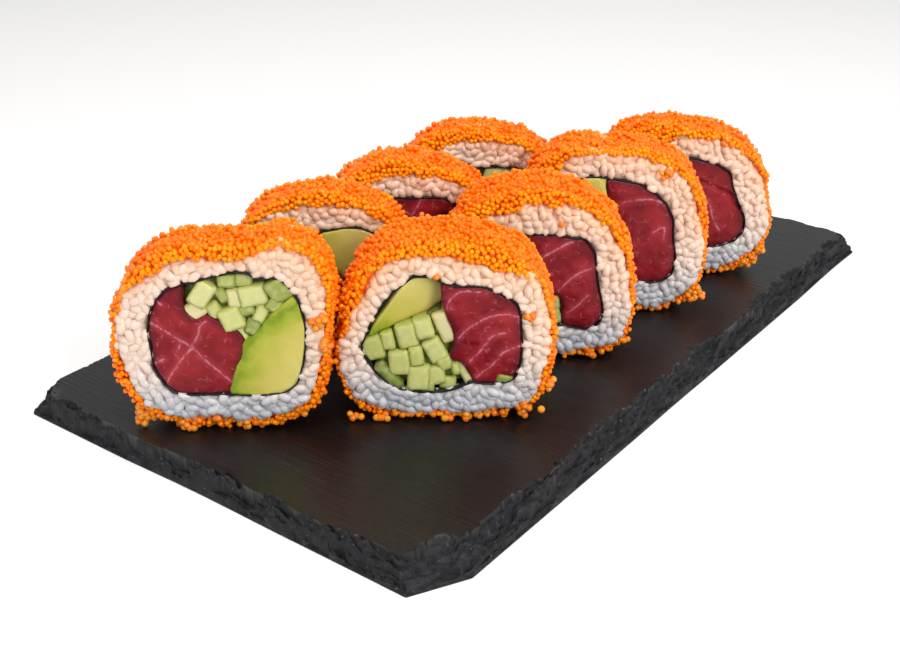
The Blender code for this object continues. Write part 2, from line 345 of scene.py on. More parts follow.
def toBoard(roll, points):
    # a roll's own millimetres (across, along, up from the section's middle) to board metres
    points = np.asarray(points, float)
    x = points[:, 0] + roll["middle"][0]
    y = points[:, 1] + roll["front"]
    c, s = math.cos(rollTurn), math.sin(rollTurn)
    return np.column_stack((x * c - y * s, x * s + y * c, points[:, 2] + roll["middle"][1])) * mm


def fromBoard(roll, points):
    return ownFrame(points / mm) - (roll["middle"][0], roll["front"], roll["middle"][1])


def reachAt(reach, angles):
    return np.interp(np.asarray(angles) % fullTurn, fullTurn * np.arange(around + 1) / around,
                     np.append(reach, reach[0]))


rolls = {key: readRoll(key) for key in rollKeys}
for key, roll in rolls.items():
    print(f"roll {key}: middle {roll['middle'].round(2)}, front {roll['front']:.2f}, "
          f"length {roll['length']:.2f}, corners {roll['corners']}")


# bands round a roll, and the grains that Geometry Nodes strew over them

def bandPoints(roll, rows):
    angles = fullTurn * np.arange(len(rows[0][0])) / len(rows[0][0])
    sheets = []
    for reach, depth in rows:
        height = reach * np.sin(angles)
        sheets.append(np.column_stack((reach * np.cos(angles), np.broadcast_to(depth, reach.shape), height)))
    return np.concatenate(sheets)


def bandFaces(rowCount, columns, closed=False):
    faces = []
    for row in range(rowCount if closed else rowCount - 1):
        above = (row + 1) % rowCount
        for i in range(columns):
            j = (i + 1) % columns
            faces.append((row * columns + i, above * columns + i, above * columns + j, row * columns + j))
    return faces


def keepOffBoard(points, clearance):
    points[:, 2] = np.maximum(points[:, 2], clearance - middleHeight)
    return points


def grainTree():
    # grains strewn over a bed: evenly spaced, turned at random, one material
    tree = bpy.data.node_groups.new("grains_over_a_bed", "GeometryNodeTree")
    for name, kind in (("Bed", "Geometry"), ("Grain", "Object"), ("Spacing", "Float"), ("Tries", "Float"),
                       ("Sink", "Float"), ("Rise", "Float"), ("Smallest", "Float"), ("Largest", "Float"),
                       ("Lean", "Float"), ("Seed", "Int"), ("Finish", "Material")):
        tree.interface.new_socket(name=name, in_out="INPUT", socket_type="NodeSocket" + kind)
    tree.interface.new_socket(name="Grains", in_out="OUTPUT", socket_type="NodeSocketGeometry")
    asked = addNode(tree, "NodeGroupInput").outputs
    seeds = [addNode(tree, "ShaderNodeMath", {0: asked["Seed"], 1: step}, operation="ADD").outputs[0]
             for step in (11.0, 23.0, 37.0, 51.0)]
    cover = addNode(tree, "GeometryNodeInputNamedAttribute", {"Name": "cover"}, data_type="FLOAT")
    spread = addNode(tree, "GeometryNodeDistributePointsOnFaces", {
        "Mesh": asked["Bed"], "Distance Min": asked["Spacing"], "Density Max": asked["Tries"],
        "Density Factor": cover.outputs["Attribute"], "Seed": asked["Seed"]}, distribute_method="POISSON")
    lift = addNode(tree, "FunctionNodeRandomValue", {2: asked["Sink"], 3: asked["Rise"], "Seed": seeds[0]})
    offset = addNode(tree, "ShaderNodeVectorMath", {0: spread.outputs["Normal"], 3: lift.outputs[1]},
                     operation="SCALE")
    moved = addNode(tree, "GeometryNodeSetPosition", {"Geometry": spread.outputs["Points"],
                                                      "Offset": offset.outputs[0]})
    backwards = addNode(tree, "ShaderNodeMath", {0: asked["Lean"], 1: -1.0}, operation="MULTIPLY")
    lowTurn = addNode(tree, "ShaderNodeCombineXYZ", {0: backwards.outputs[0], 1: backwards.outputs[0], 2: 0.0})
    highTurn = addNode(tree, "ShaderNodeCombineXYZ", {0: asked["Lean"], 1: asked["Lean"], 2: fullTurn})
    turn = addNode(tree, "FunctionNodeRandomValue", {
        0: lowTurn.outputs[0], 1: highTurn.outputs[0], "Seed": seeds[1]}, data_type="FLOAT_VECTOR")
    turned = addNode(tree, "FunctionNodeEulerToRotation", {0: turn.outputs[0]})
    facing = addNode(tree, "FunctionNodeRotateRotation", {
        0: spread.outputs["Rotation"], 1: turned.outputs[0]}, rotation_space="LOCAL")
    size = addNode(tree, "FunctionNodeRandomValue", {
        0: asked["Smallest"], 1: asked["Largest"], "Seed": seeds[2]}, data_type="FLOAT_VECTOR")
    grain = addNode(tree, "GeometryNodeObjectInfo", {"Object": asked["Grain"], "As Instance": True})
    strewn = addNode(tree, "GeometryNodeInstanceOnPoints", {
        "Points": moved.outputs[0], "Instance": grain.outputs["Geometry"],
        "Rotation": facing.outputs[0], "Scale": size.outputs[0]})
    tone = addNode(tree, "FunctionNodeRandomValue", {2: 0.0, 3: 1.0, "Seed": seeds[3]})
    toned = addNode(tree, "GeometryNodeStoreNamedAttribute", {
        "Geometry": strewn.outputs[0], "Name": "tone", "Value": tone.outputs[1]},
        data_type="FLOAT", domain="INSTANCE")
    real = addNode(tree, "GeometryNodeRealizeInstances", {"Geometry": toned.outputs[0]})
    dressed = addNode(tree, "GeometryNodeSetMaterial", {"Geometry": real.outputs[0],
                                                        "Material": asked["Finish"]})
    addNode(tree, "NodeGroupOutput", {"Grains": dressed.outputs[0]})
    return tree


def runTree(tree, host, values, name):
    # puts the tree on the host, sets its inputs by identifier, and keeps the result as a plain mesh
    modifier = host.modifiers.new("strew", "NODES")
    modifier.node_group = tree
    sockets = {item.name: item.identifier for item in tree.interface.items_tree if item.in_out == "INPUT"}
    for label, value in values.items():
        modifier[sockets[label]] = value
    bpy.context.view_layer.update()
    graph = bpy.context.evaluated_depsgraph_get()
    mesh = bpy.data.meshes.new_from_object(host.evaluated_get(graph))
    mesh.name = name
    made = bpy.data.objects.new(name, mesh)
    scene.collection.objects.link(made)
    host.modifiers.remove(modifier)
    return made


grainsOverBed = grainTree()


# materials of the rolls

def roeMaterial():
    # flying fish roe, cured and heaped: thin wet skins over orange oil; the beads pass no light, so their glow is
    # painted: beads near the cut faces are coloured a lighter orange, and each bead keeps a small sharp highlight
    material, tree = newMaterial("flying_fish_roe_heaped")
    tone = addNode(tree, "ShaderNodeAttribute", attribute_name="tone").outputs["Fac"]
    rim = addNode(tree, "ShaderNodeAttribute", attribute_name="rim").outputs["Fac"]
    body = ramp(tree, tone, ((0.0, "#FF6E00"), (0.5, "#FF7600"), (0.85, "#FF8000"), (1.0, "#FF9004")))
    # lit: the lighter orange of the painted glow, given to beads by the cut faces through rim
    lit = ramp(tree, tone, ((0.0, "#FF7C00"), (0.5, "#FF8C00"), (1.0, "#FF9C04")))
    colour = mixColour(tree, rim, body, lit)
    finishMaterial(tree, addNode(tree, "ShaderNodeBsdfPrincipled", {
        "Base Color": colour, "Roughness": 0.1, "IOR": 1.36, "Specular Tint": (1.0, 0.5, 0.15, 1.0),
        "Coat Weight": 0.3, "Coat Roughness": 0.02}))
    return material


def looseRoeMaterial():
    # the same roe in single beads: clear amber oil in a thin skin, so the dark board shows through
    # and light gathers in a bright crescent at the far side
    material, tree = newMaterial("flying_fish_roe_single")
    tone = addNode(tree, "ShaderNodeAttribute", attribute_name="tone").outputs["Fac"]
    colour = ramp(tree, tone, ((0.0, "#FF7A00"), (0.5, "#FF9008"), (1.0, "#FFA61C")))
    finishMaterial(tree, addNode(tree, "ShaderNodeBsdfPrincipled", {
        "Base Color": colour, "Roughness": 0.05, "IOR": 1.4, "Transmission Weight": 0.25,
        "Coat Weight": 0.5, "Coat Roughness": 0.03}))
    return material


def roeBedMaterial():
    # the roe below the top beads: the same orange, deeper, with the gaps between beads in shade
    material, tree = newMaterial("flying_fish_roe_packed")
    place = addNode(tree, "ShaderNodeTexCoord").outputs["Object"]
    cells = addNode(tree, "ShaderNodeTexVoronoi", {"Vector": place, "Scale": 1 / 0.0013})
    colour = ramp(tree, cells.outputs["Distance"], ((0.0, "#FF7C00"), (0.45, "#FF6A00"), (0.8, "#F45400")))
    finishMaterial(tree, addNode(tree, "ShaderNodeBsdfPrincipled", {
        "Base Color": colour, "Roughness": 0.4, "IOR": 1.36, "Specular IOR Level": 0.2}))
    return material


def riceMaterial():
    # short grain rice, steamed and dressed: starchy, sticky and half clear, so light goes well into it; painted
    # greyer and bluer low down as painted shade, more peach high up as painted light, and orange by the roe, partly
    # its oil in the rice and partly painted light from the roe
    material, tree = newMaterial("steamed_rice_sticky")
    place = addNode(tree, "ShaderNodeTexCoord").outputs["Object"]
    tone = addNode(tree, "ShaderNodeAttribute", attribute_name="tone").outputs["Fac"]
    oilStainAndRoeLight = addNode(tree, "ShaderNodeAttribute", attribute_name="oilStainAndRoeLight").outputs["Fac"]
    height = addNode(tree, "ShaderNodeSeparateXYZ", {0: place}).outputs["Z"]
    # painted shade low down, painted light high up, blended by height
    paintedShadeLow = ramp(tree, tone, ((0.0, "#9FA8B2"), (0.5, "#B0B8C1"), (1.0, "#C4CBD2")))
    paintedLightHigh = ramp(tree, tone, ((0.0, "#DAC4B4"), (0.5, "#E1CDBE"), (1.0, "#E8D6C8")))
    body = mixColour(tree, between(tree, height, 0.009, 0.026), paintedShadeLow, paintedLightHigh)
    # the orange by the roe: partly roe oil in the rice, partly painted orange light from the roe, more of it higher
    # up
    orangeByHeight = between(tree, height, 0.014, 0.044, 0.1, 0.8)
    amount = addNode(tree, "ShaderNodeMath", {0: oilStainAndRoeLight, 1: orangeByHeight}, operation="MULTIPLY").outputs[0]
    colour = mixColour(tree, amount, body, linear("#F2AE74"))
    finishMaterial(tree, addNode(tree, "ShaderNodeBsdfPrincipled", {
        "Base Color": colour, "Roughness": 0.24, "IOR": 1.45, "Specular IOR Level": 0.45}))
    return material


def noriMaterial():
    # toasted nori, damp from the rice: near black, dull green where light catches it
    material, tree = newMaterial("toasted_nori_damp")
    place = addNode(tree, "ShaderNodeTexCoord").outputs["Object"]
    fibres = addNode(tree, "ShaderNodeTexNoise", {"Vector": place, "Scale": 900.0, "Detail": 4.0})
    colour = ramp(tree, fibres.outputs["Fac"], ((0.35, "#040605"), (0.65, "#0E120F")))
    bump = addNode(tree, "ShaderNodeBump", {"Height": fibres.outputs["Fac"], "Distance": 0.0001, "Strength": 0.6})
    finishMaterial(tree, addNode(tree, "ShaderNodeBsdfPrincipled", {
        "Base Color": colour, "Roughness": 0.45, "IOR": 1.45, "Specular IOR Level": 0.35,
        "Normal": bump.outputs[0]}))
    return material


def tunaMaterial():
    # raw tuna loin, cut with a wet knife: dark red flesh with pale sinew sheets, torn fibres as fine
    # white hairs, and a wet shine
    material, tree = newMaterial("raw_tuna_cut")
    place = addNode(tree, "ShaderNodeTexCoord").outputs["Object"]
    sinew = addNode(tree, "ShaderNodeAttribute", attribute_name="sinew").outputs["Fac"]
    edge = addNode(tree, "ShaderNodeAttribute", attribute_name="edge").outputs["Fac"]
    clouds = addNode(tree, "ShaderNodeTexNoise", {"Vector": place, "Scale": 160.0, "Detail": 3.0})
    flesh = ramp(tree, clouds.outputs["Fac"], ((0.3, "#700D16"), (0.5, "#861920"), (0.7, "#98242B")))
    # darker towards the face's outline by the nori: painted shade
    dark = mixColour(tree, between(tree, edge, 0.0, 2.8, 0.8, 0.0), flesh, linear("#50101C"))
    halo = mixColour(tree, between(tree, sinew, 0.1, 1.8, 0.38, 0.0), dark, linear("#B03A48"))
    fray = addNode(tree, "ShaderNodeTexNoise", {"Vector": place, "Scale": 900.0, "Detail": 2.0})
    wander = addNode(tree, "ShaderNodeMath", {0: fray.outputs["Fac"], 1: 0.5}, operation="MULTIPLY")
    ragged = addNode(tree, "ShaderNodeMath", {0: sinew, 1: wander.outputs[0]}, operation="ADD")
    line = between(tree, ragged.outputs[0], 0.28, 0.62, 0.65, 0.0)
    veined = mixColour(tree, line, halo, linear("#CF8894"))
    # the fine hairs follow the borders of bent cells, here and there
    bend = addNode(tree, "ShaderNodeTexNoise", {"Vector": place, "Scale": 350.0, "Detail": 2.0})
    push = addNode(tree, "ShaderNodeVectorMath", {0: bend.outputs["Color"], 3: 0.004}, operation="SCALE")
    bent = addNode(tree, "ShaderNodeVectorMath", {0: place, 1: push.outputs[0]}, operation="ADD")
    web = addNode(tree, "ShaderNodeTexVoronoi", {"Vector": bent.outputs[0], "Scale": 380.0},
                  feature="DISTANCE_TO_EDGE")
    patches = addNode(tree, "ShaderNodeTexNoise", {"Vector": place, "Scale": 520.0, "Detail": 1.0})
    hair = between(tree, web.outputs["Distance"], 0.006, 0.032, 1.0, 0.0)
    some = between(tree, patches.outputs["Fac"], 0.52, 0.68, 0.0, 0.6)
    hairs = addNode(tree, "ShaderNodeMath", {0: hair, 1: some}, operation="MULTIPLY").outputs[0]
    colour = mixColour(tree, hairs, veined, linear("#C27078"))
    bump = addNode(tree, "ShaderNodeBump", {"Height": fray.outputs["Fac"], "Distance": 0.00015, "Strength": 0.5})
    finishMaterial(tree, addNode(tree, "ShaderNodeBsdfPrincipled", {
        "Base Color": colour, "Roughness": 0.28, "IOR": 1.4, "Specular IOR Level": 0.22,
        "Normal": bump.outputs[0],
        "Subsurface Weight": 0.35, "Subsurface Radius": (1.0, 0.15, 0.12), "Subsurface Scale": 0.0006}))
    return material


def avocadoMaterial():
    # ripe avocado flesh, knife cut: buttery, green by the skin and yellow inside
    material, tree = newMaterial("ripe_avocado_flesh")
    place = addNode(tree, "ShaderNodeTexCoord").outputs["Object"]
    rind = addNode(tree, "ShaderNodeAttribute", attribute_name="rind").outputs["Fac"]
    blotch = addNode(tree, "ShaderNodeTexNoise", {"Vector": place, "Scale": 220.0, "Detail": 3.0})
    shift = between(tree, blotch.outputs["Fac"], 0.3, 0.7, -1.2, 1.2)
    depth = addNode(tree, "ShaderNodeMath", {0: rind, 1: shift}, operation="ADD")
    scaled = addNode(tree, "ShaderNodeMath", {0: depth.outputs[0], 1: 1 / 14.0}, operation="MULTIPLY")
    colour = ramp(tree, scaled.outputs[0], (
        (0.0, "#788E10"), (0.1, "#98A424"), (0.3, "#B8B446"), (0.55, "#CABC5C"), (1.0, "#D6CA74")))
    pits = addNode(tree, "ShaderNodeTexNoise", {"Vector": place, "Scale": 900.0, "Detail": 3.0})
    bump = addNode(tree, "ShaderNodeBump", {"Height": pits.outputs["Fac"], "Distance": 0.0001, "Strength": 0.4})
    finishMaterial(tree, addNode(tree, "ShaderNodeBsdfPrincipled", {
        "Base Color": colour, "Roughness": 0.42, "IOR": 1.46, "Specular IOR Level": 0.35,
        "Normal": bump.outputs[0],
        "Subsurface Weight": 0.4, "Subsurface Radius": (1.0, 0.95, 0.5), "Subsurface Scale": 0.0006}))
    return material


def cucumberMaterial():
    # peeled cucumber, cut in sticks: watery and half clear, with a darker green painted along each stick's cut edges
    # as painted shade between the sticks
    material, tree = newMaterial("peeled_cucumber_cut")
    place = addNode(tree, "ShaderNodeTexCoord").outputs["Object"]
    tone = addNode(tree, "ShaderNodeAttribute", attribute_name="tone").outputs["Fac"]
    edge = addNode(tree, "ShaderNodeAttribute", attribute_name="edge").outputs["Fac"]
    grain = addNode(tree, "ShaderNodeTexNoise", {"Vector": place, "Scale": 600.0, "Detail": 3.0})
    body = ramp(tree, tone, ((0.0, "#6E7C2E"), (0.15, "#98A250"), (0.35, "#B2B664"), (0.6, "#C4C67E"),
                             (0.85, "#D2D094"), (1.0, "#D8CC9C")))
    # rim: the darker green of the painted shade along the stick edges
    rim = ramp(tree, tone, ((0.0, "#4A590E"), (0.15, "#6C7E1C"), (0.5, "#98A23C"), (1.0, "#BCB664")))
    worn = addNode(tree, "ShaderNodeMath", {0: edge, 1: grain.outputs["Fac"]}, operation="MULTIPLY")
    green = mixColour(tree, between(tree, worn.outputs[0], 0.15, 0.6), body, rim)
    colour = mixColour(tree, between(tree, grain.outputs["Fac"], 0.4, 0.75, 0.0, 0.35), green, linear("#D8D4A2"))
    bump = addNode(tree, "ShaderNodeBump", {"Height": grain.outputs["Fac"], "Distance": 0.0001, "Strength": 0.4})
    finishMaterial(tree, addNode(tree, "ShaderNodeBsdfPrincipled", {
        "Base Color": colour, "Roughness": 0.2, "IOR": 1.36, "Normal": bump.outputs[0],
        "Subsurface Weight": 0.6, "Subsurface Radius": (1.0, 1.0, 0.6), "Subsurface Scale": 0.0006}))
    return material


finishes = {
    "roe": roeMaterial(), "looseRoe": looseRoeMaterial(), "roeBed": roeBedMaterial(),
    "rice": riceMaterial(), "nori": noriMaterial(),
    "tuna": tunaMaterial(), "avocado": avocadoMaterial(), "cucumber": cucumberMaterial(),
}
print("the rolls' materials are mixed")


# roe: a packed bed in relief, and a full coat of beads over it

roe = {
    "beadRadius": 0.72, "spacing": 0.96, "sink": -0.5, "rise": 0.3, "smallest": 0.85, "largest": 1.1,
    "tries": 8.0e6, "bedDepth": 0.95, "bedRelief": 0.3, "bedCell": 1.1, "columns": 240, "seed": 5,
    "looseRadius": 0.82,
    "lipWander": 1.0, "lipLength": 3.0,  # how far the front edge strays over the rice
    "setBack": 1.3, "bedBack": 1.0,  # how far behind the cut face the coat starts low down, and its bed
    "lumps": 0.7, "lumpLength": 6.0,
    "ridingSpacing": 1.5, "footSpacing": 1.7, "footShare": 0.75,  # beads on the coat, at its foot, and gaps there
}
heaps = {  # where the coat is thicker: direction and spread in degrees, height
    "a1": (115, 30, 1.4), "a2": (85, 30, 1.1), "a3": (108, 36, 2.0), "a4": (126, 42, 2.0),
    "b1": (94, 44, 1.7), "b2": (112, 42, 2.0), "b3": (105, 36, 1.2), "b4": (128, 30, 1.8),
}
crowds = {  # loose beads by the front face: across, up from the section's middle, spread, depth, count
    "a1": ((-20.0, -19.6, 2.6, 3.0, 30), (22.3, 6.0, 1.7, 0.2, 12), (23.6, -0.2, 1.2, 0.2, 6),
           (17.0, -17.2, 1.6, 2.0, 7), (3.5, -21.6, 1.5, 1.0, 6), (-8.0, -21.6, 3.5, 1.0, 10),
           (-2.0, -19.6, 0.8, -0.2, 2)),
    "b1": ((19.7, 4.8, 1.3, 0.0, 8), (-1.8, 14.7, 0.1, 0.1, 1), (24.6, -13.5, 1.7, 1.5, 9),
           (22.8, -18.9, 0.1, -1.0, 1), (-21.3, -21.6, 1.6, 0.5, 6), (-15.0, -22.0, 2.0, 0.5, 6),
           (18.5, -20.4, 2.2, 0.8, 9), (0.5, -21.9, 1.5, 0.6, 5), (6.0, -21.9, 1.2, 0.6, 4)),
    "b2": ((5.5, 14.8, 0.1, 0.1, 1), (22.0, -17.5, 2.0, 1.5, 12), (14.5, -21.0, 2.2, 1.0, 8)),
    "b3": ((11.3, 17.6, 1.6, 0.0, 10), (22.3, -18.0, 2.2, 1.5, 12)),
    "b4": ((19.5, -19.0, 2.6, 2.0, 24), (22.5, -15.5, 1.6, 1.5, 10), (10.0, 17.5, 1.4, 0.2, 6)),
}


def packedBead():
    # a ball of 32 triangles: an octahedron cut once and drawn onto a sphere
    shape = bmesh.new()
    tips = [shape.verts.new(tip) for tip in ((1, 0, 0), (0, 1, 0), (-1, 0, 0), (0, -1, 0), (0, 0, 1), (0, 0, -1))]
    for i in range(4):
        shape.faces.new((tips[i], tips[(i + 1) % 4], tips[4]))
        shape.faces.new((tips[(i + 1) % 4], tips[i], tips[5]))
    bmesh.ops.subdivide_edges(shape, edges=shape.edges[:], cuts=1, use_grid_fill=True)
    for corner in shape.verts:
        corner.co = corner.co.normalized() * roe["beadRadius"] * mm
    return beadPiece("bead", shape)


def looseBead():
    shape = bmesh.new()
    bmesh.ops.create_icosphere(shape, subdivisions=2, radius=roe["looseRadius"] * mm)
    return beadPiece("loose_bead", shape)


def beadPiece(name, shape):
    mesh = bpy.data.meshes.new(name)
    shape.to_mesh(mesh)
    shape.free()
    mesh.shade_smooth()
    piece = bpy.data.objects.new(name, mesh)
    scene.collection.objects.link(piece)
    return piece


def coatReach(roll, angles):
    reach = reachAt(roll["roe"], angles)
    if roll["key"] in heaps:
        middle, spread, height = heaps[roll["key"]]
        reach = reach + height * np.exp(-((np.degrees(angles) - middle) / spread) ** 2)
        room = cadBox[1].z / mm - boardTop - middleHeight - 1.2
        reach = np.minimum(reach, room / np.maximum(np.sin(angles), 0.05))
    return reach


def coatRows(roll, under, further=0.0):
    # the coat's profile from the front rim over the outside to the back rim, sunk by a depth
    angles = fullTurn * np.arange(roe["columns"]) / roe["columns"]
    outer = coatReach(roll, angles) - under
    length = roll["length"]
    back = under * 0.55 + further + roe["setBack"] * np.clip(0.75 - np.sin(angles), 0.0, 1.0)

    def lipRows(side):
        stray = np.array([roe["lipWander"] * wobble((math.cos(a) * 24, math.sin(a) * 24, side), roe["lipLength"])
                          for a in angles])
        inner = reachAt(roll["rice"], angles) + 0.3 + stray
        reach = np.maximum(outer, inner + 0.1)
        turn = np.maximum(0.8, 0.7 * (reach - inner))
        return [(inner, back - 0.5 * np.maximum(0.0, -stray)), ((inner + reach) / 2, back + 0.1 * turn),
                (reach - 0.15 * (reach - inner), back + 0.45 * turn), (reach, back + turn)]

    rows = lipRows(7.0 * rollKeys.index(roll["key"]))
    rear = [(reach, length - depth) for reach, depth in lipRows(7.0 * rollKeys.index(roll["key"]) + 3.0)][::-1]
    steps = 14
    (frontReach, start), (backReach, end) = rows[-1], rear[0]
    for i in range(1, steps):
        share = i / steps
        rows.append((frontReach * (1 - share) + backReach * share, start * (1 - share) + end * share))
    return rows + rear


def coatCover(roll, points):
    # nothing is strewn where the roll rests on the board, away from its faces
    edge = np.minimum(points[:, 1], roll["length"] - points[:, 1])
    foot = points[:, 2] < 2.6 - middleHeight
    gaps = np.array([wobble(p, 3.5) for p in points]) + 0.5 < roe["footShare"]
    return np.where(foot & ((edge > 3.2) | ~gaps), 0.0, 1.0)


def raiseLumps(roll, points):
    # the coat lies in soft heaps, more so on top
    high = np.clip(0.5 + points[:, 2] / 30.0, 0.1, 1.0)
    reach = np.hypot(points[:, 0], points[:, 2])
    shift = np.array([wobble(p + 70.0, roe["lumpLength"]) for p in toBoard(roll, points) / mm])
    grown = 1.0 + roe["lumps"] * high * shift / reach
    points[:, 0] *= grown
    points[:, 2] *= grown
    return points


def looseBeads(roll, bead, rng):
    # beads that lie apart, as copies of the mould
    corners = np.array([v.co for v in bead.data.vertices]) / mm
    sides = np.array([p.vertices[:] for p in bead.data.polygons])
    spots = []
    for across, up, spread, depth, count in crowds.get(roll["key"], ()):
        for _ in range(count):
            a, r = rng.uniform(0.0, fullTurn), spread * math.sqrt(rng.random())
            spots.append((across + r * math.cos(a), depth + rng.uniform(-0.4, 0.8) * min(1.0, spread),
                          max(up + r * math.sin(a), 1.1 * roe["looseRadius"] - middleHeight)))
    if not spots:
        return None
    sizes = np.array([rng.uniform(0.95, 1.15) for _ in spots])
    points = (np.array(spots)[:, None, :] + corners[None] * sizes[:, None, None]).reshape(-1, 3)
    faces = (sides[None] + len(corners) * np.arange(len(spots))[:, None, None]).reshape(-1, 3)
    tones = np.repeat([rng.random() for _ in spots], len(corners))
    return meshPiece(f"apart_{roll['key']}", toBoard(roll, points), faces, finishes["looseRoe"], {"tone": tones})


def holdDown(piece):
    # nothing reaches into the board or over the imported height
    points = np.empty(len(piece.data.vertices) * 3, np.float32)
    piece.data.vertices.foreach_get("co", points)
    points = points.reshape(-1, 3)
    points[:, 2] = np.clip(points[:, 2], boardTop * mm + 0.00002, cadBox[1].z - 0.00005)
    piece.data.vertices.foreach_set("co", points.ravel())
    piece.data.update()


def makeRoe(roll, bead, single):
    key = roll["key"]
    columns = roe["columns"]
    rng = random.Random(roe["seed"] + rollKeys.index(key))
    rows = coatRows(roll, roe["beadRadius"])
    points = keepOffBoard(raiseLumps(roll, bandPoints(roll, rows)), roe["beadRadius"] + 0.05)
    # rim: nearness to a cut face; there the roe material paints the beads a lighter orange, a painted glow
    rim = np.clip(1.0 - (np.minimum(points[:, 1], roll["length"] - points[:, 1]) - 0.8) / 3.0, 0.0, 1.0)
    hostBed = meshPiece(f"strew_{key}", toBoard(roll, points), bandFaces(len(rows), columns),
                        finishes["roe"], {"cover": coatCover(roll, points), "rim": rim})
    coat = {"Grain": bead, "Spacing": roe["spacing"] * mm, "Tries": roe["tries"], "Sink": roe["sink"] * mm,
            "Rise": roe["rise"] * mm, "Smallest": roe["smallest"], "Largest": roe["largest"],
            "Lean": math.pi, "Seed": roe["seed"] + rollKeys.index(key), "Finish": finishes["roe"]}
    parts = [runTree(grainsOverBed, hostBed, coat, f"coat_{key}")]
    # more beads ride on the coat in patches
    share = np.array([0.5 + wobble(p + 50.0, 5.0) for p in points])
    share = np.clip((share - 0.5) * 3.0, 0.0, 1.0) * coatCover(roll, points)
    hostBed.data.attributes["cover"].data.foreach_set("value", share.astype(np.float32))
    riding = dict(coat, Spacing=roe["ridingSpacing"] * mm, Sink=0.5 * mm, Rise=0.9 * mm, Seed=coat["Seed"] + 60)
    parts.append(runTree(grainsOverBed, hostBed, riding, f"riding_{key}"))
    beads = joinPieces(f"roe_beads_{key}", parts)
    # single beads lie in crowds at the foot and by the faces
    share = coatCover(roll, points) * np.clip(1.0 - (points[:, 2] + middleHeight - 2.5) / 3.0, 0.0, 1.0)
    hostBed.data.attributes["cover"].data.foreach_set("value", share.astype(np.float32))
    foot = dict(coat, Grain=single, Spacing=roe["footSpacing"] * mm, Sink=0.1 * mm, Rise=0.8 * mm,
                Seed=coat["Seed"] + 80, Finish=finishes["looseRoe"])
    apart = looseBeads(roll, single, rng)
    loose = joinPieces(f"roe_loose_{key}", [runTree(grainsOverBed, hostBed, foot, f"foot_{key}")]
                       + ([apart] if apart else []))
    dropPiece(hostBed)
    holdDown(beads)
    holdDown(loose)

    rows = coatRows(roll, roe["bedDepth"], roe["bedBack"])
    points = keepOffBoard(raiseLumps(roll, bandPoints(roll, rows)), 0.3)
    placed = toBoard(roll, points)
    angles = np.tile(fullTurn * np.arange(columns) / columns, len(rows))
    outwards = np.column_stack((np.cos(angles), np.zeros(len(angles)), np.sin(angles)))
    for i, spot in enumerate(placed):
        gap = noise.voronoi(Vector(spot) / (roe["bedCell"] * mm))[0][0]
        points[i] += outwards[i] * roe["bedRelief"] * (0.6 - 1.6 * gap * gap)
    keepOffBoard(points, 0.2)
    # closed down to the rice, so that the bed is a solid ring
    innerFront, innerBack = points[:columns].copy(), points[-columns:].copy()
    for sheet in (innerFront, innerBack):
        sheet[:, (0, 2)] *= 0.95
    total = len(rows)
    points = np.concatenate((points, innerBack, innerFront))
    faces = bandFaces(total + 2, columns, closed=True)
    bed = meshPiece(f"roe_bed_{key}", toBoard(roll, points), faces, finishes["roeBed"])
    for piece in (beads, loose, bed):
        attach(piece, "root")
    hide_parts(f"roll_{key}_roe")
    return beads, loose


beadMould, looseMould = packedBead(), looseBead()
for key, roll in rolls.items():
    beads, loose = makeRoe(roll, beadMould, looseMould)
    print(f"roe on {key}: {len(beads.data.polygons)} faces of beads, {len(loose.data.polygons)} of loose ones")
dropPiece(beadMould)
dropPiece(looseMould)


# rice: a lumpy core, and grains lying in both cut faces

rice = {
    "grainLength": 4.2, "grainWidth": 2.6, "spacing": 1.5, "sink": -0.4, "rise": 0.25, "smallest": 0.85,
    "largest": 1.1, "lean": 0.6, "tries": 1.4e6, "faceDepth": 1.25, "coreDepth": 0.9, "seed": 40,
    "proud": 0.35, "overNori": 0.42, "overRoe": 0.6,  # how far a grain may stand out of the cut, or over a neighbour
}


def grainShape():
    # one grain: a plump spindle, a little bent and flatter below
    rings, sides = 5, 7
    points, faces = [(-0.5, 0.0, 0.0)], []
    for i in range(1, rings):
        t = math.pi * i / rings
        x = -0.5 * math.cos(t)
        girth = 0.5 * math.sin(t) ** 0.65
        for j in range(sides):
            a = fullTurn * j / sides
            points.append((x, girth * math.cos(a), girth * math.sin(a) * (0.9 if math.sin(a) < 0 else 1.0)
                           + 0.12 * (1 - 4 * x * x)))
    points.append((0.5, 0.0, 0.0))
    last = len(points) - 1
    for j in range(sides):
        k = (j + 1) % sides
        faces.append((0, 1 + k, 1 + j))
        for i in range(rings - 2):
            low, high = 1 + i * sides, 1 + (i + 1) * sides
            faces.append((low + j, low + k, high + k, high + j))
        top = 1 + (rings - 2) * sides
        faces.append((top + j, top + k, last))
    size = Vector((rice["grainLength"], rice["grainWidth"], rice["grainWidth"])) * mm
    return meshPiece("grain", [(x * size.x, y * size.y, (z - 0.06) * size.z) for x, y, z in points], faces,
                     finishes["rice"])


def riceRows(roll, columns, depth, pull):
    angles = fullTurn * np.arange(columns) / columns
    inner = reachAt(roll["noriOuter"], angles) + 0.6 * pull
    outer = reachAt(roll["rice"], angles) - pull
    rows = [(inner + (outer - inner) * share, depth) for share in (0.0, 0.33, 0.66, 0.9)]
    rows += [(outer, depth + 0.5), (outer + 0.1, depth + 1.6), (outer + 0.1, depth + 2.4)]
    return rows


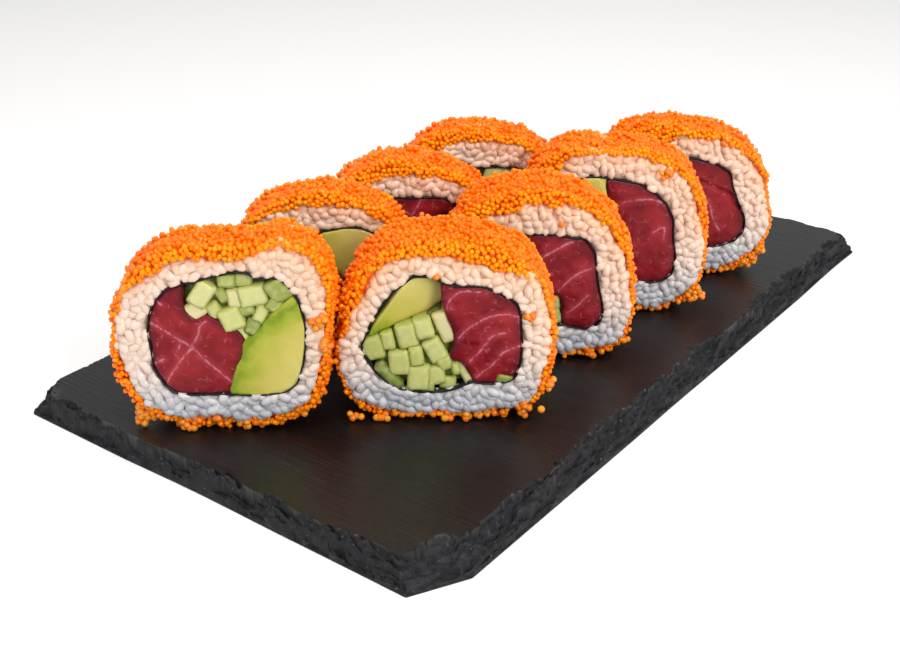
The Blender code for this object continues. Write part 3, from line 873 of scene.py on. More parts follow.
def pressIn(roll, piece):
    # grains lie against the nori, under the roe, off the board, and only a little proud of the cut
    mesh = piece.data
    points = np.empty(len(mesh.vertices) * 3, np.float32)
    mesh.vertices.foreach_get("co", points)
    points = fromBoard(roll, points.reshape(-1, 3).astype(float))
    angles = np.arctan2(points[:, 2], points[:, 0])
    reach = np.hypot(points[:, 0], points[:, 2])
    low = reachAt(roll["noriOuter"], angles) - rice["overNori"]
    high = np.maximum(reachAt(roll["rice"], angles) + rice["overRoe"], low + 0.5)
    held = np.clip(reach, low, high) / np.maximum(reach, 1e-6)
    points[:, 0] *= held
    points[:, 2] *= held
    points[:, 1] = np.clip(points[:, 1], -rice["proud"], roll["length"] + rice["proud"])
    keepOffBoard(points, 0.1)
    mesh.vertices.foreach_set("co", toBoard(roll, points).astype(np.float32).ravel())
    mesh.update()


def makeRice(roll, grain):
    key = roll["key"]
    columns = 180
    length = roll["length"]
    front = riceRows(roll, columns, rice["faceDepth"], 0.75)
    back = [(reach, length - depth) for reach, depth in front[::-1]]
    made = []
    for side, rows in enumerate((front, back)):
        points = keepOffBoard(bandPoints(roll, rows), 1.2)
        # most orange in the outer rows by the roe: roe oil and painted roe light together
        oilStainAndRoeLight = np.repeat([0.3, 0.4, 0.55, 0.7, 0.85, 0.85, 0.85][::1 if side == 0 else -1], columns)
        if key[0] == "a":  # less of the orange on the left column's open side
            oilStainAndRoeLight = oilStainAndRoeLight * np.clip(0.4 + 0.024 * (points[:, 0] + 20.0), 0.4, 1.0)
        host = meshPiece(f"strew_{key}", toBoard(roll, points), bandFaces(len(rows), columns),
                         finishes["rice"], {"cover": np.ones(len(points)), "oilStainAndRoeLight": oilStainAndRoeLight})
        made.append(runTree(grainsOverBed, host, {
            "Grain": grain, "Spacing": rice["spacing"] * mm, "Tries": rice["tries"],
            "Sink": rice["sink"] * mm, "Rise": rice["rise"] * mm, "Smallest": rice["smallest"],
            "Largest": rice["largest"], "Lean": rice["lean"],
            "Seed": rice["seed"] + 2 * rollKeys.index(key) + side, "Finish": finishes["rice"]},
            f"part_{key}_{side}"))
        dropPiece(host)
    grains = joinPieces(f"rice_grains_{key}", made)
    pressIn(roll, grains)

    angles = fullTurn * np.arange(columns) / columns
    inner = reachAt(roll["noriOuter"], angles) + 0.05
    outer = reachAt(roll["rice"], angles) - 0.15
    deep = rice["coreDepth"]
    rows = [(inner + (outer - inner) * share, deep) for share in (0.0, 0.3, 0.6, 0.85)]
    rows += [(outer, deep + 0.6)] + [(outer, deep + 0.6 + (length - 2 * deep - 1.2) * i / 6) for i in range(1, 6)]
    rows += [(reach, length - depth) for reach, depth in rows[:5][::-1]]
    points = bandPoints(roll, rows)
    for i, spot in enumerate(toBoard(roll, points)):
        lump = noise.voronoi(Vector(spot) / 0.0026)[0][0]
        if points[i, 1] < deep + 0.1:
            points[i, 1] += 0.7 * lump - 0.2
        elif points[i, 1] > length - deep - 0.1:
            points[i, 1] -= 0.7 * lump - 0.2
    keepOffBoard(points, 0.4)
    core = meshPiece(f"rice_core_{key}", toBoard(roll, points), bandFaces(len(rows), columns, closed=True),
                     finishes["rice"], {"tone": np.full(len(points), 0.35), "oilStainAndRoeLight": np.full(len(points), 0.4)})
    for piece in (grains, core):
        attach(piece, "root")
    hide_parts(f"roll_{key}_rice")
    return grains, core


grainMould = grainShape()
for key, roll in rolls.items():
    grains, core = makeRice(roll, grainMould)
    print(f"rice of {key}: {len(grains.data.polygons)} faces of grains")
dropPiece(grainMould)


# nori: one thin crinkled sheet between the rice and the fillings

nori = {"crinkle": 0.08, "crinkleLength": 2.5, "columns": 260, "steps": 4}


def makeNori(roll):
    key = roll["key"]
    columns = nori["columns"]
    angles = fullTurn * np.arange(columns) / columns
    outer = reachAt(roll["noriOuter"], angles)
    length = roll["length"]
    depths = [0.15 + (length - 0.3) * i / nori["steps"] for i in range(nori["steps"] + 1)]
    rows = [(outer - noriThickness / 2, depths[0])] + [(outer, d) for d in depths[0:]]
    rows += [(outer - noriThickness, d) for d in depths[::-1]]
    points = bandPoints(roll, rows)
    rowAngles = np.tile(angles, len(rows))
    for i, spot in enumerate(toBoard(roll, points)):
        shift = nori["crinkle"] * wobble(spot, nori["crinkleLength"] * mm)
        points[i, 0] += shift * math.cos(rowAngles[i])
        points[i, 2] += shift * math.sin(rowAngles[i])
    points[:columns * 2, 1] += 0.15 * np.tile(np.sin(angles * 23) + np.sin(angles * 41 + 1.0), 2) * 0.5
    sheet = meshPiece(f"nori_{key}", toBoard(roll, points), bandFaces(len(rows), columns, closed=True),
                      finishes["nori"])
    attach(sheet, "root")
    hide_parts(f"roll_{key}_nori")
    return sheet


for roll in rolls.values():
    makeNori(roll)
print("the nori is wrapped")


# fillings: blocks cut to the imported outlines

def fitNori(roll, outline):
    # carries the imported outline's outer side onto the finer one of the nori
    angles = np.arctan2(outline[:, 1], outline[:, 0])
    reach = np.hypot(outline[:, 0], outline[:, 1])
    packed = reachAt(roll["packedInner"], angles)
    near = np.clip((reach / packed - 0.8) / 0.15, 0.0, 1.0)
    return outline * (1.0 + near * (reachAt(roll["noriInner"], angles) - packed) / np.maximum(reach, 1e-6))[:, None]


def nodeOutline(name, roll):
    # the outline of a filling's front face as a loop of (across, up) from the section's middle
    mesh = nodes[name].data
    points, _ = nodePoints(name)
    front = points[:, 1].min()
    spots, index = np.unique(np.round(points, 3), axis=0, return_inverse=True)
    index = index.reshape(-1)
    counts = {}
    for face in mesh.polygons:
        corners = [index[v] for v in face.vertices]
        if all(spots[c, 1] < front + 0.02 for c in corners):
            for a, b in zip(corners, corners[1:] + corners[:1]):
                counts[(a, b)] = True
    edges = {a: b for (a, b) in counts if (b, a) not in counts}
    start = next(iter(edges))
    loop, at = [start], edges[start]
    while at != start and len(loop) <= len(edges):
        loop.append(at)
        at = edges[at]
    outline = fitNori(roll, spots[loop][:, (0, 2)] - roll["middle"])
    area = 0.5 * np.sum(outline[:, 0] * np.roll(outline[:, 1], -1) - outline[:, 1] * np.roll(outline[:, 0], -1))
    return outline if area > 0 else outline[::-1]


def roundCorners(loop, times=2, share=0.25):
    for _ in range(times):
        after = np.roll(loop, -1, axis=0)
        loop = np.stack((loop * (1 - share) + after * share, loop * share + after * (1 - share)), 1).reshape(-1, 2)
    return loop


def evenLoop(loop, spacing):
    closed = np.vstack((loop, loop[:1]))
    steps = np.linalg.norm(np.diff(closed, axis=0), axis=1)
    along = np.concatenate(([0.0], np.cumsum(steps)))
    count = max(8, int(round(along[-1] / spacing)))
    at = np.linspace(0.0, along[-1], count, endpoint=False)
    return np.column_stack((np.interp(at, along, closed[:, 0]), np.interp(at, along, closed[:, 1])))


def spreadLoop(loop, by):
    # moves a loop outwards along its own normals
    run = np.roll(loop, -1, axis=0) - np.roll(loop, 1, axis=0)
    run /= np.linalg.norm(run, axis=1)[:, None]
    return loop + by * np.column_stack((run[:, 1], -run[:, 0]))


def holdInNori(roll, points):
    angles = np.arctan2(points[:, 2], points[:, 0])
    reach = np.hypot(points[:, 0], points[:, 2])
    held = np.minimum(reach, reachAt(roll["noriInner"], angles) - 0.02) / np.maximum(reach, 1e-6)
    points[:, 0] *= held
    points[:, 2] *= held
    return points


def inside(points, loop):
    x, y = points[:, 0, None], points[:, 1, None]
    ax, ay = loop[:, 0], loop[:, 1]
    bx, by = np.roll(ax, -1), np.roll(ay, -1)
    crosses = ((ay > y) != (by > y)) & (x < (bx - ax) * (y - ay) / np.where(by == ay, 1e-9, by - ay) + ax)
    return crosses.sum(1) % 2 == 1


def distanceTo(points, line, closed=False):
    # distance from each point to a run of straight pieces
    line = np.asarray(line, float)
    if closed:
        line = np.vstack((line, line[:1]))
    best = np.full(len(points), np.inf)
    for a, b in zip(line, line[1:]):
        run = b - a
        share = np.clip(((points - a) @ run) / max(run @ run, 1e-9), 0.0, 1.0)
        best = np.minimum(best, np.linalg.norm(points - a - share[:, None] * run, axis=1))
    return best


def faceMesh(loop, spacing, seed):
    # points and triangles of a face inside a loop, the loop's own points first
    rng = np.random.default_rng(seed)
    low, high = loop.min(0), loop.max(0)
    grid = []
    for j, y in enumerate(np.arange(low[1], high[1], spacing * 0.87)):
        for x in np.arange(low[0] + (spacing / 2 if j % 2 else 0.0), high[0], spacing):
            grid.append((x, y))
    grid = np.array(grid) + rng.uniform(-0.15, 0.15, (len(grid), 2)) * spacing
    grid = grid[inside(grid, loop)]
    grid = grid[distanceTo(grid, loop, closed=True) > spacing * 0.45]
    points = np.vstack((loop, grid))
    made = delaunay_2d_cdt([Vector(p) for p in points], [], [list(range(len(loop)))], 1, 1e-6)
    spots = np.array([tuple(v) for v in made[0]])
    order = {}
    for new, olds in enumerate(made[3]):
        for old in olds:
            order[old] = new
    edge = [order[i] for i in range(len(loop))]
    return spots, made[2], edge


def blockMesh(loop, length, spacing, seed, rounding, relief):
    # a block: front and back faces in relief, with walls between them
    spots, faces, edge = faceMesh(loop, spacing, seed)
    count = len(spots)
    depth = distanceTo(spots, loop, closed=True)
    near = np.clip(depth / rounding, 0.0, 1.0)
    drop = rounding * (1.0 - np.sqrt(1.0 - (1.0 - near) ** 2))
    front = np.column_stack((spots[:, 0], drop + relief(spots, depth, 0), spots[:, 1]))
    back = np.column_stack((spots[:, 0], length - drop - relief(spots, depth, 1), spots[:, 1]))
    points = [front, back]
    allFaces = [tuple(f) for f in faces] + [tuple(v + count for v in f[::-1]) for f in faces]
    wallRows = 5
    rowStart = [None]
    for i in range(1, wallRows):
        rowStart.append(2 * count + (i - 1) * len(edge))
        share = i / wallRows
        points.append(front[edge] * (1 - share) + back[edge] * share)
    rings = [list(edge)] + [[rowStart[i] + k for k in range(len(edge))] for i in range(1, wallRows)]
    rings.append([v + count for v in edge])
    for first, second in zip(rings, rings[1:]):
        for k in range(len(edge)):
            m = (k + 1) % len(edge)
            allFaces.append((first[k], second[k], second[m], first[m]))
    everything = np.vstack(points)
    edges = np.zeros(len(everything))
    edges[:count] = depth
    edges[count:2 * count] = depth
    return everything, allFaces, edges


def turnedInto(points, turn, shift):
    a = math.radians(turn)
    points = np.asarray(points, float)
    return np.column_stack((points[:, 0] * math.cos(a) - points[:, 1] * math.sin(a) + shift[0],
                            points[:, 0] * math.sin(a) + points[:, 1] * math.cos(a) + shift[1]))


def smoothLine(line, parts=6):
    # a curve through the points
    line = np.asarray(line, float)
    padded = np.vstack((2 * line[0] - line[1], line, 2 * line[-1] - line[-2]))
    made = []
    for i in range(1, len(padded) - 2):
        p0, p1, p2, p3 = padded[i - 1:i + 3]
        for t in np.arange(parts) / parts:
            made.append(0.5 * (2 * p1 + (p2 - p0) * t + (2 * p0 - 5 * p1 + 4 * p2 - p3) * t * t
                               + (3 * p1 - p0 - 3 * p2 + p3) * t ** 3))
    made.append(line[-1])
    return np.array(made)


# what the knife shows in each roll. sinews: sheets of sinew across the tuna. rind: the avocado's
# green side. sticks: cucumber as (across, up, width, height, turn, tone).
wedgeRind = ((18.3, 10.3), (14.2, 8.2), (10.8, 5.7), (7.9, 2.3), (5.8, -0.6), (4.6, -3.5), (3.3, -7.7),
             (2.1, -11.0))
cornerRind = ((-17.5, -0.6), (-10.4, 1.9), (-3.3, 4.2))
wedgeSinews = (
    ((-15.5, 6.0), (-9.0, 1.5), (-6.5, -0.5), (-3.0, -4.5), (0.0, -7.5), (2.3, -10.0)),
    ((-3.0, 6.0), (-4.5, 4.0), (-5.5, 1.0), (-7.0, -1.0), (-9.0, -3.5), (-12.5, -8.5), (-13.0, -11.0)),
    ((-13.0, -3.5), (-16.0, -5.0)), ((-9.0, 0.5), (-10.0, -1.5)), ((-14.0, 11.5), (-12.0, 10.0)),
)
cornerSinews = (
    ((3.3, -0.8), (5.4, 1.9), (9.6, 4.4), (14.2, 5.3), (17.5, 4.4)),
    ((5.8, -6.8), (8.3, -3.9), (10.8, -0.2), (14.0, 0.6)),
    ((7.5, -11.0), (11.7, -6.8), (13.8, -4.3), (17.5, -2.7)),
    ((0.4, 6.5), (1.7, 9.4), (4.2, 11.1), (9.6, 10.7)),
)
cuts = {
    "a1": {"turn": 0.0, "shift": (0.0, 0.0), "sinews": wedgeSinews, "rind": wedgeRind, "sticks": (
        (-3.3, 12.5, 4.1, 5.8, -35, 0.75), (-5.4, 8.2, 3.9, 4.6, -52, 0.98), (2.3, 15.7, 3.6, 3.0, 0, 0.3),
        (6.0, 15.9, 3.8, 3.4, -5, 0.3), (1.0, 12.1, 2.3, 3.6, 30, 0.2), (3.7, 11.1, 2.8, 4.6, 5, 0.9),
        (8.0, 12.0, 5.7, 4.6, 10, 0.7), (14.2, 13.6, 5.5, 5.2, 30, 0.15), (-1.0, 8.2, 2.8, 3.6, 25, 0.5),
        (2.9, 6.3, 4.6, 5.0, 20, 0.6), (6.3, 8.4, 3.2, 2.6, 15, 0.2), (9.4, 7.3, 2.8, 4.6, -25, 0.65),
        (12.7, 9.6, 3.2, 3.2, -35, 0.2), (7.4, 4.2, 3.0, 3.4, -20, 0.1), (4.8, 2.1, 2.8, 3.6, 10, 0.6),
        (13.3, 8.0, 5.0, 0.9, 35, 0.1))},
    "a2": {"turn": 60.0, "shift": (0.0, 0.0), "sinews": wedgeSinews, "sticks": None,
           "rind": tuple((across - 8.0, up) for across, up in wedgeRind)},
    "a3": {"turn": -85.0, "shift": (0.0, 0.0), "sinews": wedgeSinews, "rind": wedgeRind, "sticks": None},
    "a4": {"turn": -25.0, "shift": (0.0, 0.0), "sinews": wedgeSinews, "rind": wedgeRind, "sticks": None},
    "b1": {"turn": 0.0, "shift": (0.0, 0.0), "sinews": cornerSinews, "rind": ((-19.5, -3.0), (-17.0, -1.5), (-13.0, -0.5)),
           "avocado": ((-17.5, -0.6), (-10.4, 1.9), (-3.3, 4.2), (-0.3, 6.3), (-0.1, 9.4), (0.0, 12.2),
                       (-2.2, 13.4), (-5.0, 14.6), (-7.3, 14.4), (-10.0, 11.5), (-16.2, 2.3)),
           "facets": (((-5.0, 14.6), (-0.1, 9.4), 0.55), ((-8.6, 15.0), (-17.0, 2.0), 0.5)),
           "sticks": (
        (0.1, 1.5, 3.4, 7.2, 23, 0.98), (-4.8, 1.2, 4.0, 4.7, 15, 0.6), (-8.7, -0.8, 4.2, 5.7, 13, 0.55),
        (-13.1, -1.9, 2.8, 4.4, 10, 0.5), (-16.6, -3.7, 4.4, 5.6, 15, 0.4), (-10.4, -7.5, 4.6, 5.5, 3, 0.5),
        (-6.5, -5.8, 3.0, 4.4, 8, 0.45), (-2.1, -4.5, 4.0, 5.6, 28, 0.6), (0.1, -7.9, 3.3, 3.2, 20, 0.5),
        (2.6, -8.9, 1.8, 3.0, 15, 0.45), (-6.0, -11.2, 4.8, 5.6, -3, 0.5), (-2.0, -10.8, 3.8, 4.2, 10, 0.45),
        (5.0, -9.7, 2.8, 5.6, 25, 0.95), (0.8, -13.2, 3.6, 2.8, 0, 0.5), (-3.8, -13.7, 2.6, 2.4, 0, 0.4),
        (-12.9, -10.8, 2.4, 7.6, 39, 0.05), (14.0, -11.6, 3.6, 2.2, -15, 0.1))},
    "b2": {"turn": 0.0, "shift": (0.0, 0.0), "sinews": (
        ((0.5, 5.7), (5.0, 8.5), (8.5, 10.0)), ((6.0, -2.5), (9.5, 1.0), (14.0, 3.3)),
        ((8.0, -9.5), (13.0, -4.5))), "rind": cornerRind, "sticks": None},
    "b3": {"turn": 0.0, "shift": (-3.5, 2.0), "sinews": (
        ((-2.0, 8.0), (2.0, 10.0), (8.0, 10.5), (12.5, 9.0)), ((9.0, 1.0), (12.0, 2.5), (12.0, -1.0))),
        "rind": cornerRind, "facets": (((-6.5, 17.5), (-3.5, 8.0), 0.5),), "sticks": None},
    "b4": {"turn": 0.0, "shift": (-3.5, -1.0), "sinews": (
        ((4.0, 2.5), (7.0, -1.5), (8.0, -5.0), (10.0, -8.5)), ((6.0, 6.0), (8.0, 4.5))),
        "rind": cornerRind, "parting": ((-3.0, 9.0), (6.5, 5.0), (12.0, 2.5), (14.5, -0.5), (17.5, -4.0)),
        "sticks": None},
}
cutsOwnPlace = ("b2", "b3", "b4")  # sinews already given where they lie
filling = {"spacing": 0.55, "tunaRound": 0.28, "avocadoRound": 0.22, "stickRound": 0.25, "stickCell": 4.2,
           "spread": 0.5, "stickSwell": 1.09}


def makeTuna(roll, cut, seed):
    key = roll["key"]
    loop = evenLoop(roundCorners(nodeOutline(f"roll_{key}_tuna", roll)), filling["spacing"])
    loop = spreadLoop(loop, filling["spread"])

    def relief(spots, depth, side):
        swell = -0.45 * np.clip(depth / 6.0, 0.0, 1.0) ** 0.5
        rough = np.array([0.16 * wobble((p[0], p[1], 40.0 * side + seed), 2.2) for p in spots])
        groove = 1.3 * np.exp(-(distanceTo(spots, cut["parting"]) / 0.45) ** 2) if "parting" in cut else 0.0
        return swell + 0.45 + rough + groove

    points, faces, edge = blockMesh(loop, roll["length"], filling["spacing"], seed, filling["tunaRound"], relief)
    points = holdInNori(roll, points)
    flat = points[:, (0, 2)]
    sinew = np.full(len(points), 9.0)
    bent = flat + np.array([[0.25 * wobble((p[0], p[1], 3.0), 3.0), 0.25 * wobble((p[0], p[1], 9.0), 3.0)]
                            for p in flat])
    for line in cut["sinews"]:
        if key not in cutsOwnPlace:
            line = turnedInto(line, cut["turn"], cut["shift"])
        sinew = np.minimum(sinew, distanceTo(bent, smoothLine(line)))
    piece = meshPiece(f"tuna_{key}", toBoard(roll, points), faces, finishes["tuna"],
                      {"sinew": sinew, "edge": edge})
    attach(piece, "root")
    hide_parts(f"roll_{key}_tuna")


def makeAvocado(roll, cut, seed):
    key = roll["key"]
    name = f"roll_{key}_avocado"
    if name not in nodes:
        return
    if "avocado" in cut:
        loop = np.array(cut["avocado"])
        loop = evenLoop(roundCorners(loop, 1, 0.08), filling["spacing"])
    else:
        loop = evenLoop(roundCorners(nodeOutline(name, roll), 1, 0.12), filling["spacing"])
        loop = spreadLoop(loop, filling["spread"])

    def relief(spots, depth, side):
        fall = np.array([0.1 + 0.1 * wobble((p[0], p[1], 40.0 * side + seed), 3.5) for p in spots])
        for (ax, ay), (bx, by), slope in cut.get("facets", ()):
            # the face falls away on the right of a line
            beyond = ((spots[:, 1] - ay) * (bx - ax) - (spots[:, 0] - ax) * (by - ay)) / math.hypot(bx - ax, by - ay)
            fall = fall + slope * np.clip(beyond, 0.0, None)
        return fall

    points, faces, edge = blockMesh(loop, roll["length"], filling["spacing"], seed, filling["avocadoRound"],
                                    relief)
    points = holdInNori(roll, points)
    rind = distanceTo(points[:, (0, 2)], smoothLine(turnedInto(cut["rind"], cut["turn"], cut["shift"])))
    piece = meshPiece(f"avocado_{key}", toBoard(roll, points), faces, finishes["avocado"],
                      {"rind": rind, "edge": edge})
    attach(piece, "root")
    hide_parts(name)


def packSticks(loop, turn, rng):
    # sticks in crooked rows that fill an outline
    cell = filling["stickCell"]
    middle = (loop.min(0) + loop.max(0)) / 2
    sticks = []
    for row in range(-6, 7):
        x = -30.0 + rng.uniform(0.0, cell)
        while x < 30.0:
            width = cell * rng.uniform(0.7, 1.25)
            height = cell * rng.uniform(0.85, 1.05)
            spot = turnedInto([(x + width / 2, row * cell + rng.uniform(-0.3, 0.3))], turn, middle)
            if inside(spot, loop)[0] and distanceTo(spot, loop, closed=True)[0] > 0.9:
                room = distanceTo(spot, loop, closed=True)[0]
                size = min(1.0, (room + 0.7) / (height / 2))
                sticks.append((spot[0, 0], spot[0, 1], width * size, height * size,
                               turn + rng.uniform(-9.0, 9.0), rng.uniform(0.1, 1.0)))
            x += width
    return sticks


def stickMesh(stick, length, rng):
    # a stick with a softened square section, and both ends cut a little unevenly
    across, up, width, height, turn, tone = stick
    width, height = width * filling["stickSwell"], height * filling["stickSwell"]
    soft = min(0.5, width / 4, height / 4)
    section = []
    for cornerX, cornerY, start in ((1, -1, -90), (1, 1, 0), (-1, 1, 90), (-1, -1, 180)):
        for k in range(3):
            a = math.radians(start + 45 * k)
            section.append((cornerX * (width / 2 - soft) + soft * math.cos(a),
                            cornerY * (height / 2 - soft) + soft * math.sin(a)))
    section = turnedInto(evenLoop(np.array(section), 0.45), turn, (across, up))
    middle = np.array((across, up))
    tiltX, tiltY, start = rng.uniform(-0.09, 0.09), rng.uniform(-0.12, 0.12), rng.uniform(0.0, 1.3)
    seed = rng.randrange(1000)

    def relief(spots, depth, side):
        away = spots - middle
        return start + tiltX * away[:, 0] + tiltY * away[:, 1] + np.array(
            [0.06 * wobble((p[0], p[1], 9.0 * side + seed), 1.2) for p in spots])

    points, faces, edge = blockMesh(section, length, 0.8, seed, filling["stickRound"], relief)
    return points, faces, np.clip(1.0 - edge / 1.1, 0.0, 1.0), np.full(len(points), tone)


def makeCucumber(roll, cut, seed):
    key = roll["key"]
    rng = random.Random(seed)
    loop = nodeOutline(f"roll_{key}_cucumber", roll)
    sticks = cut["sticks"] or packSticks(loop, cut["turn"] + 12.0, rng)
    points, faces, edges, tones = [], [], [], []
    count = 0
    for stick in sticks:
        p, f, e, t = stickMesh(stick, roll["length"], rng)
        points.append(p)
        faces += [tuple(v + count for v in face) for face in f]
        edges.append(e)
        tones.append(t)
        count += len(p)
    # what lies behind the gaps between the sticks, given the darkest tone as painted shade in the gaps
    core = evenLoop(roundCorners(loop, 1), 1.5)
    middle = core.mean(0)
    core = middle + (core - middle) * 0.96
    p, f, e = blockMesh(core, roll["length"] - 5.0, 2.0, seed, 0.3, lambda spots, depth, side: 0.0 * depth)
    p[:, 1] += 2.5
    points.append(p)
    faces += [tuple(v + count for v in face) for face in f]
    edges.append(np.ones(len(p)))
    tones.append(np.zeros(len(p)))
    points = holdInNori(roll, np.vstack(points))
    piece = meshPiece(f"cucumber_{key}", toBoard(roll, points), faces, finishes["cucumber"],
                      {"edge": np.concatenate(edges), "tone": np.concatenate(tones)})
    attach(piece, "root")
    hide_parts(f"roll_{key}_cucumber")


for number, (key, roll) in enumerate(rolls.items()):
    makeTuna(roll, cuts[key], 100 + number)
    makeAvocado(roll, cuts[key], 200 + number)
    makeCucumber(roll, cuts[key], 300 + number)
print("the fillings are cut")


# the slate board

slate = {
    "column": 0.45, "row": 0.2, "wideRow": 0.5, "fine": 4.6, "band": 10.0,  # mesh spacing along and across
    "foot": 0.6,  # height of the upright foot of the edge
    "slopes": (2.0, 4.2, 2.3, 3.0),  # width of the slope on the left, right, front and back sides
    "ragged": 0.45, "raggedLength": 13.0, "cornerWear": 1.2, "cornerReach": 10.0,
    "flakes": ((9.0, 2.6, 0.9, 0.6), (3.0, 1.2, 0.4, 0.4)),  # length, width, level, share of the slope taken
    "layer": 1.5, "steepest": 3.0,  # thickness of the layers that break away, steepest rise of the edge
    "worn": ((-63.5, -110.5, 9.0, 0.5, 2.8), (55.5, -110.5, 17.0, 3.4, 0.0)),  # corners: place, reach, wider, lower
}


def slateMaterial():
    # riven slate, oiled on top: charcoal with fine straight grain, bluer and duller on the knapped edge
    material, tree = newMaterial("riven_slate_oiled")
    place = addNode(tree, "ShaderNodeTexCoord").outputs["Object"]
    chipped = addNode(tree, "ShaderNodeAttribute", attribute_name="chipped").outputs["Fac"]
    lay = addNode(tree, "ShaderNodeMapping", {"Vector": place, "Rotation": (0.0, 0.0, math.radians(-33.0)),
                                              "Scale": (90.0, 1100.0, 400.0)})
    grain = addNode(tree, "ShaderNodeTexNoise", {"Vector": lay.outputs[0], "Scale": 1.0, "Detail": 5.0})
    top = ramp(tree, grain.outputs["Fac"], ((0.3, "#080808"), (0.5, "#0C0C0C"), (0.72, "#131313")))
    rough = addNode(tree, "ShaderNodeTexNoise", {"Vector": place, "Scale": 500.0, "Detail": 6.0})
    side = ramp(tree, rough.outputs["Fac"], ((0.3, "#030406"), (0.52, "#0B0D12"), (0.75, "#20232A")))
    ledgeShadow = addNode(tree, "ShaderNodeAttribute", attribute_name="ledgeShadow").outputs["Fac"]
    ridge = addNode(tree, "ShaderNodeAttribute", attribute_name="ridge").outputs["Fac"]
    # near black at the steps under the ledges: a painted shadow
    ledgeShadowed = mixColour(tree, between(tree, ledgeShadow, 0.0, 0.8, 0.0, 0.9), side, linear("#020203"))
    # paler grey along the ledges' ridges: a painted highlight
    worn = addNode(tree, "ShaderNodeMath", {0: ridge, 1: rough.outputs["Fac"]}, operation="MULTIPLY").outputs[0]
    broken = mixColour(tree, between(tree, worn, 0.3, 0.6, 0.0, 0.6), ledgeShadowed, linear("#3A3D44"))
    colour = mixColour(tree, chipped, top, broken)
    specks = addNode(tree, "ShaderNodeTexNoise", {"Vector": place, "Scale": 1500.0, "Detail": 0.0})
    seen = between(tree, chipped, 0.0, 1.0, 0.05, 0.3)
    dots = between(tree, specks.outputs["Fac"], 0.78, 0.84)
    speck = addNode(tree, "ShaderNodeMath", {0: dots, 1: seen}, operation="MULTIPLY").outputs[0]
    speckled = mixColour(tree, speck, colour, linear("#7A7C82"))
    height = mixColour(tree, chipped, grain.outputs["Color"], rough.outputs["Color"])
    bump = addNode(tree, "ShaderNodeBump", {"Height": height, "Distance": 0.00035, "Strength": 0.6})
    shine = between(tree, chipped, 0.0, 1.0, 0.36, 0.7)
    finishMaterial(tree, addNode(tree, "ShaderNodeBsdfPrincipled", {
        "Base Color": speckled, "Roughness": shine, "IOR": 1.5, "Specular IOR Level": 0.42,
        "Normal": bump.outputs[0]}))
    return material


def slateOutline():
    # the underside's outline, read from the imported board
    mesh = nodes["slate_board"].data
    points = np.empty(len(mesh.vertices) * 3, np.float32)
    mesh.vertices.foreach_get("co", points)
    points = points.reshape(-1, 3).astype(float) / mm
    low = np.unique(np.round(points[points[:, 2] < 0.05][:, :2], 3), axis=0)
    angles = np.arctan2(low[:, 1], low[:, 0])
    return low[np.argsort(angles)]


def chance(spot):
    return math.sin(spot[0] * 127.1 + spot[1] * 311.7 + spot[2] * 74.7) * 43758.5453 % 1.0


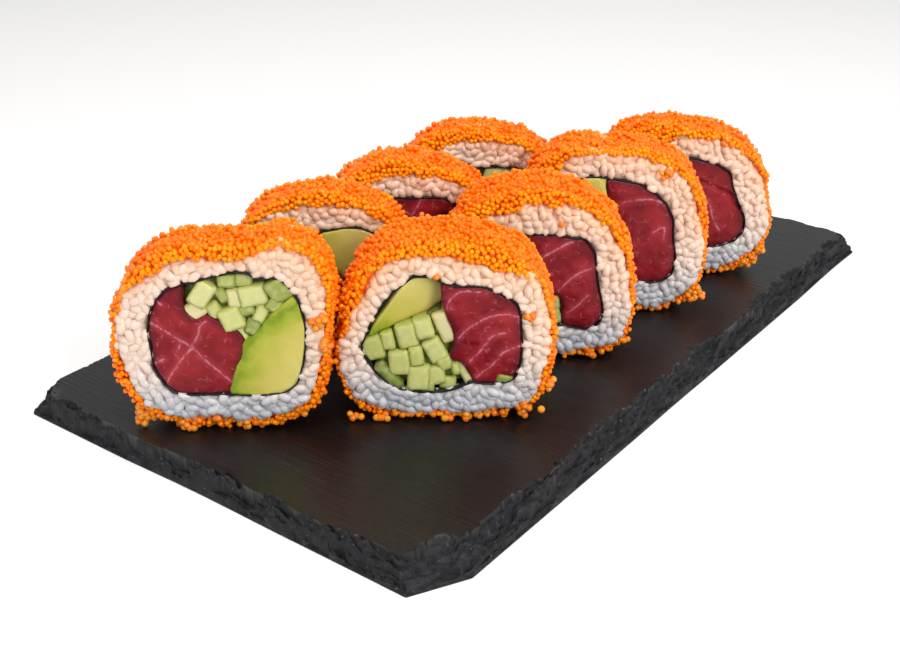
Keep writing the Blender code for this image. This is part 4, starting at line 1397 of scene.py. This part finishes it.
def knapHeight(x, y, inset, along, half):
    # the knapped edge over a spot: its height, whether it is broken, how deep in the step under a ledge, painted as
    # a shadow line, and how near a ridge, painted as a highlight
    sides = np.array((x + half[0], half[0] - x, y + half[1], half[1] - y))
    weights = 1.0 / np.maximum(sides, 0.3) ** 3
    width = float(weights @ np.array(slate["slopes"]) / weights.sum())
    width *= 1.0 + slate["ragged"] * wobble((x, y, 31.0), slate["raggedLength"], 3)
    corner = math.hypot(half[0] - abs(x), half[1] - abs(y))
    width += slate["cornerWear"] * max(0.0, 1.0 - corner / slate["cornerReach"])
    sunk = 0.0
    for wornX, wornY, reach, wider, lower in slate["worn"]:
        near = max(0.0, 1.0 - math.hypot(x - wornX, y - wornY) / reach)
        width += wider * near
        sunk += lower * near ** 1.3
    at, level = inset, 0.0
    for number, (length, across, drop, taken) in enumerate(slate["flakes"]):
        spot = Vector((along / length, inset / across, 3.7 * number))
        centre = noise.voronoi(spot)[1][0]
        level += drop * (chance(centre) - 0.5)
        level += 0.6 * drop * (chance(centre * 3.1) - 0.5) * (spot.x - centre.x)
        at += taken * (centre.y * across - inset)
    at += 0.5 * wobble((along / 3.0, inset, 9.0), 1.2, 3)
    rise = (boardTop - slate["foot"]) * at / max(1.2, width)
    layers = rise / slate["layer"] + 0.35 * wobble((along, inset, 50.0), 9.0)
    part = layers - math.floor(layers)
    ledge = (math.floor(layers) + max(0.0, part - 0.5) * 2.0) * slate["layer"]
    height = slate["foot"] + 0.3 * rise + 0.7 * ledge + level + 0.12 * wobble((x, y, 5.0), 0.9, 3)
    height = min(height, slate["foot"] + 0.3 + slate["steepest"] * inset + 0.5 * wobble((x, y, 77.0), 1.6, 3))
    if height >= boardTop - 0.15 or inset > slate["band"] - 1.0:
        return boardTop - sunk, 0.0, 0.0, 0.0
    # the step under each ledge, painted near black by the material: a painted shadow line
    ledgeShadow = max(0.0, 1.0 - abs(part - 0.45) / 0.2)
    # the top of each ledge, painted paler grey by the material: a painted highlight
    ridge = max(0.0, 1.0 - min(part, 1.0 - part) / 0.12)
    return max(0.35, height - sunk), 1.0, ledgeShadow, ridge


def makeSlate():
    material = slateMaterial()
    outline = evenLoop(slateOutline(), slate["column"])
    columns = len(outline)
    half = (cadBox[1].x / mm, cadBox[1].y / mm)
    insets = np.concatenate((np.arange(0.0, slate["fine"], slate["row"]),
                             np.arange(slate["fine"], slate["band"], slate["wideRow"]), [slate["band"] + 2.0]))
    points, marks = [], []
    for inset in insets:
        for i, (x, y) in enumerate(outline * (1 - inset / half[0], 1 - inset / half[1])):
            z, *mark = knapHeight(x, y, inset, i * slate["column"], half)
            points.append((x, y, z))
            marks.append(mark)
    faces = [face[::-1] for face in bandFaces(len(insets), columns)]
    # the riven top inside the band, the foot of the edge, and the underside
    inner = np.array(points[-columns:])[:, :2]
    spots, topFaces, edge = faceMesh(inner, 4.0, 3)
    onto = {spot: (len(insets) - 1) * columns + i for i, spot in enumerate(edge)}
    for i, spot in enumerate(spots):
        if i not in onto:
            onto[i] = len(points)
            points.append((spot[0], spot[1], boardTop))
            marks.append((0.0, 0.0, 0.0))
    faces += [tuple(onto[v] for v in face) for face in topFaces]
    start = len(points)
    points += [(x, y, 0.0) for x, y in outline]
    marks += [(1.0, 0.0, 0.0)] * columns
    faces += [(start + i, start + (i + 1) % columns, (i + 1) % columns, i) for i in range(columns)]
    faces.append(tuple(range(start + columns - 1, start - 1, -1)))
    chipped, ledgeShadow, ridge = np.array(marks).T
    piece = meshPiece("slate_board_knapped", np.array(points) * mm, faces, material,
                      {"chipped": chipped, "ledgeShadow": ledgeShadow, "ridge": ridge}, 40)
    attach(piece, "root")
    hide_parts("slate_board")
    return piece


board = makeSlate()
print(f"the slate is knapped: {len(board.data.polygons)} faces")
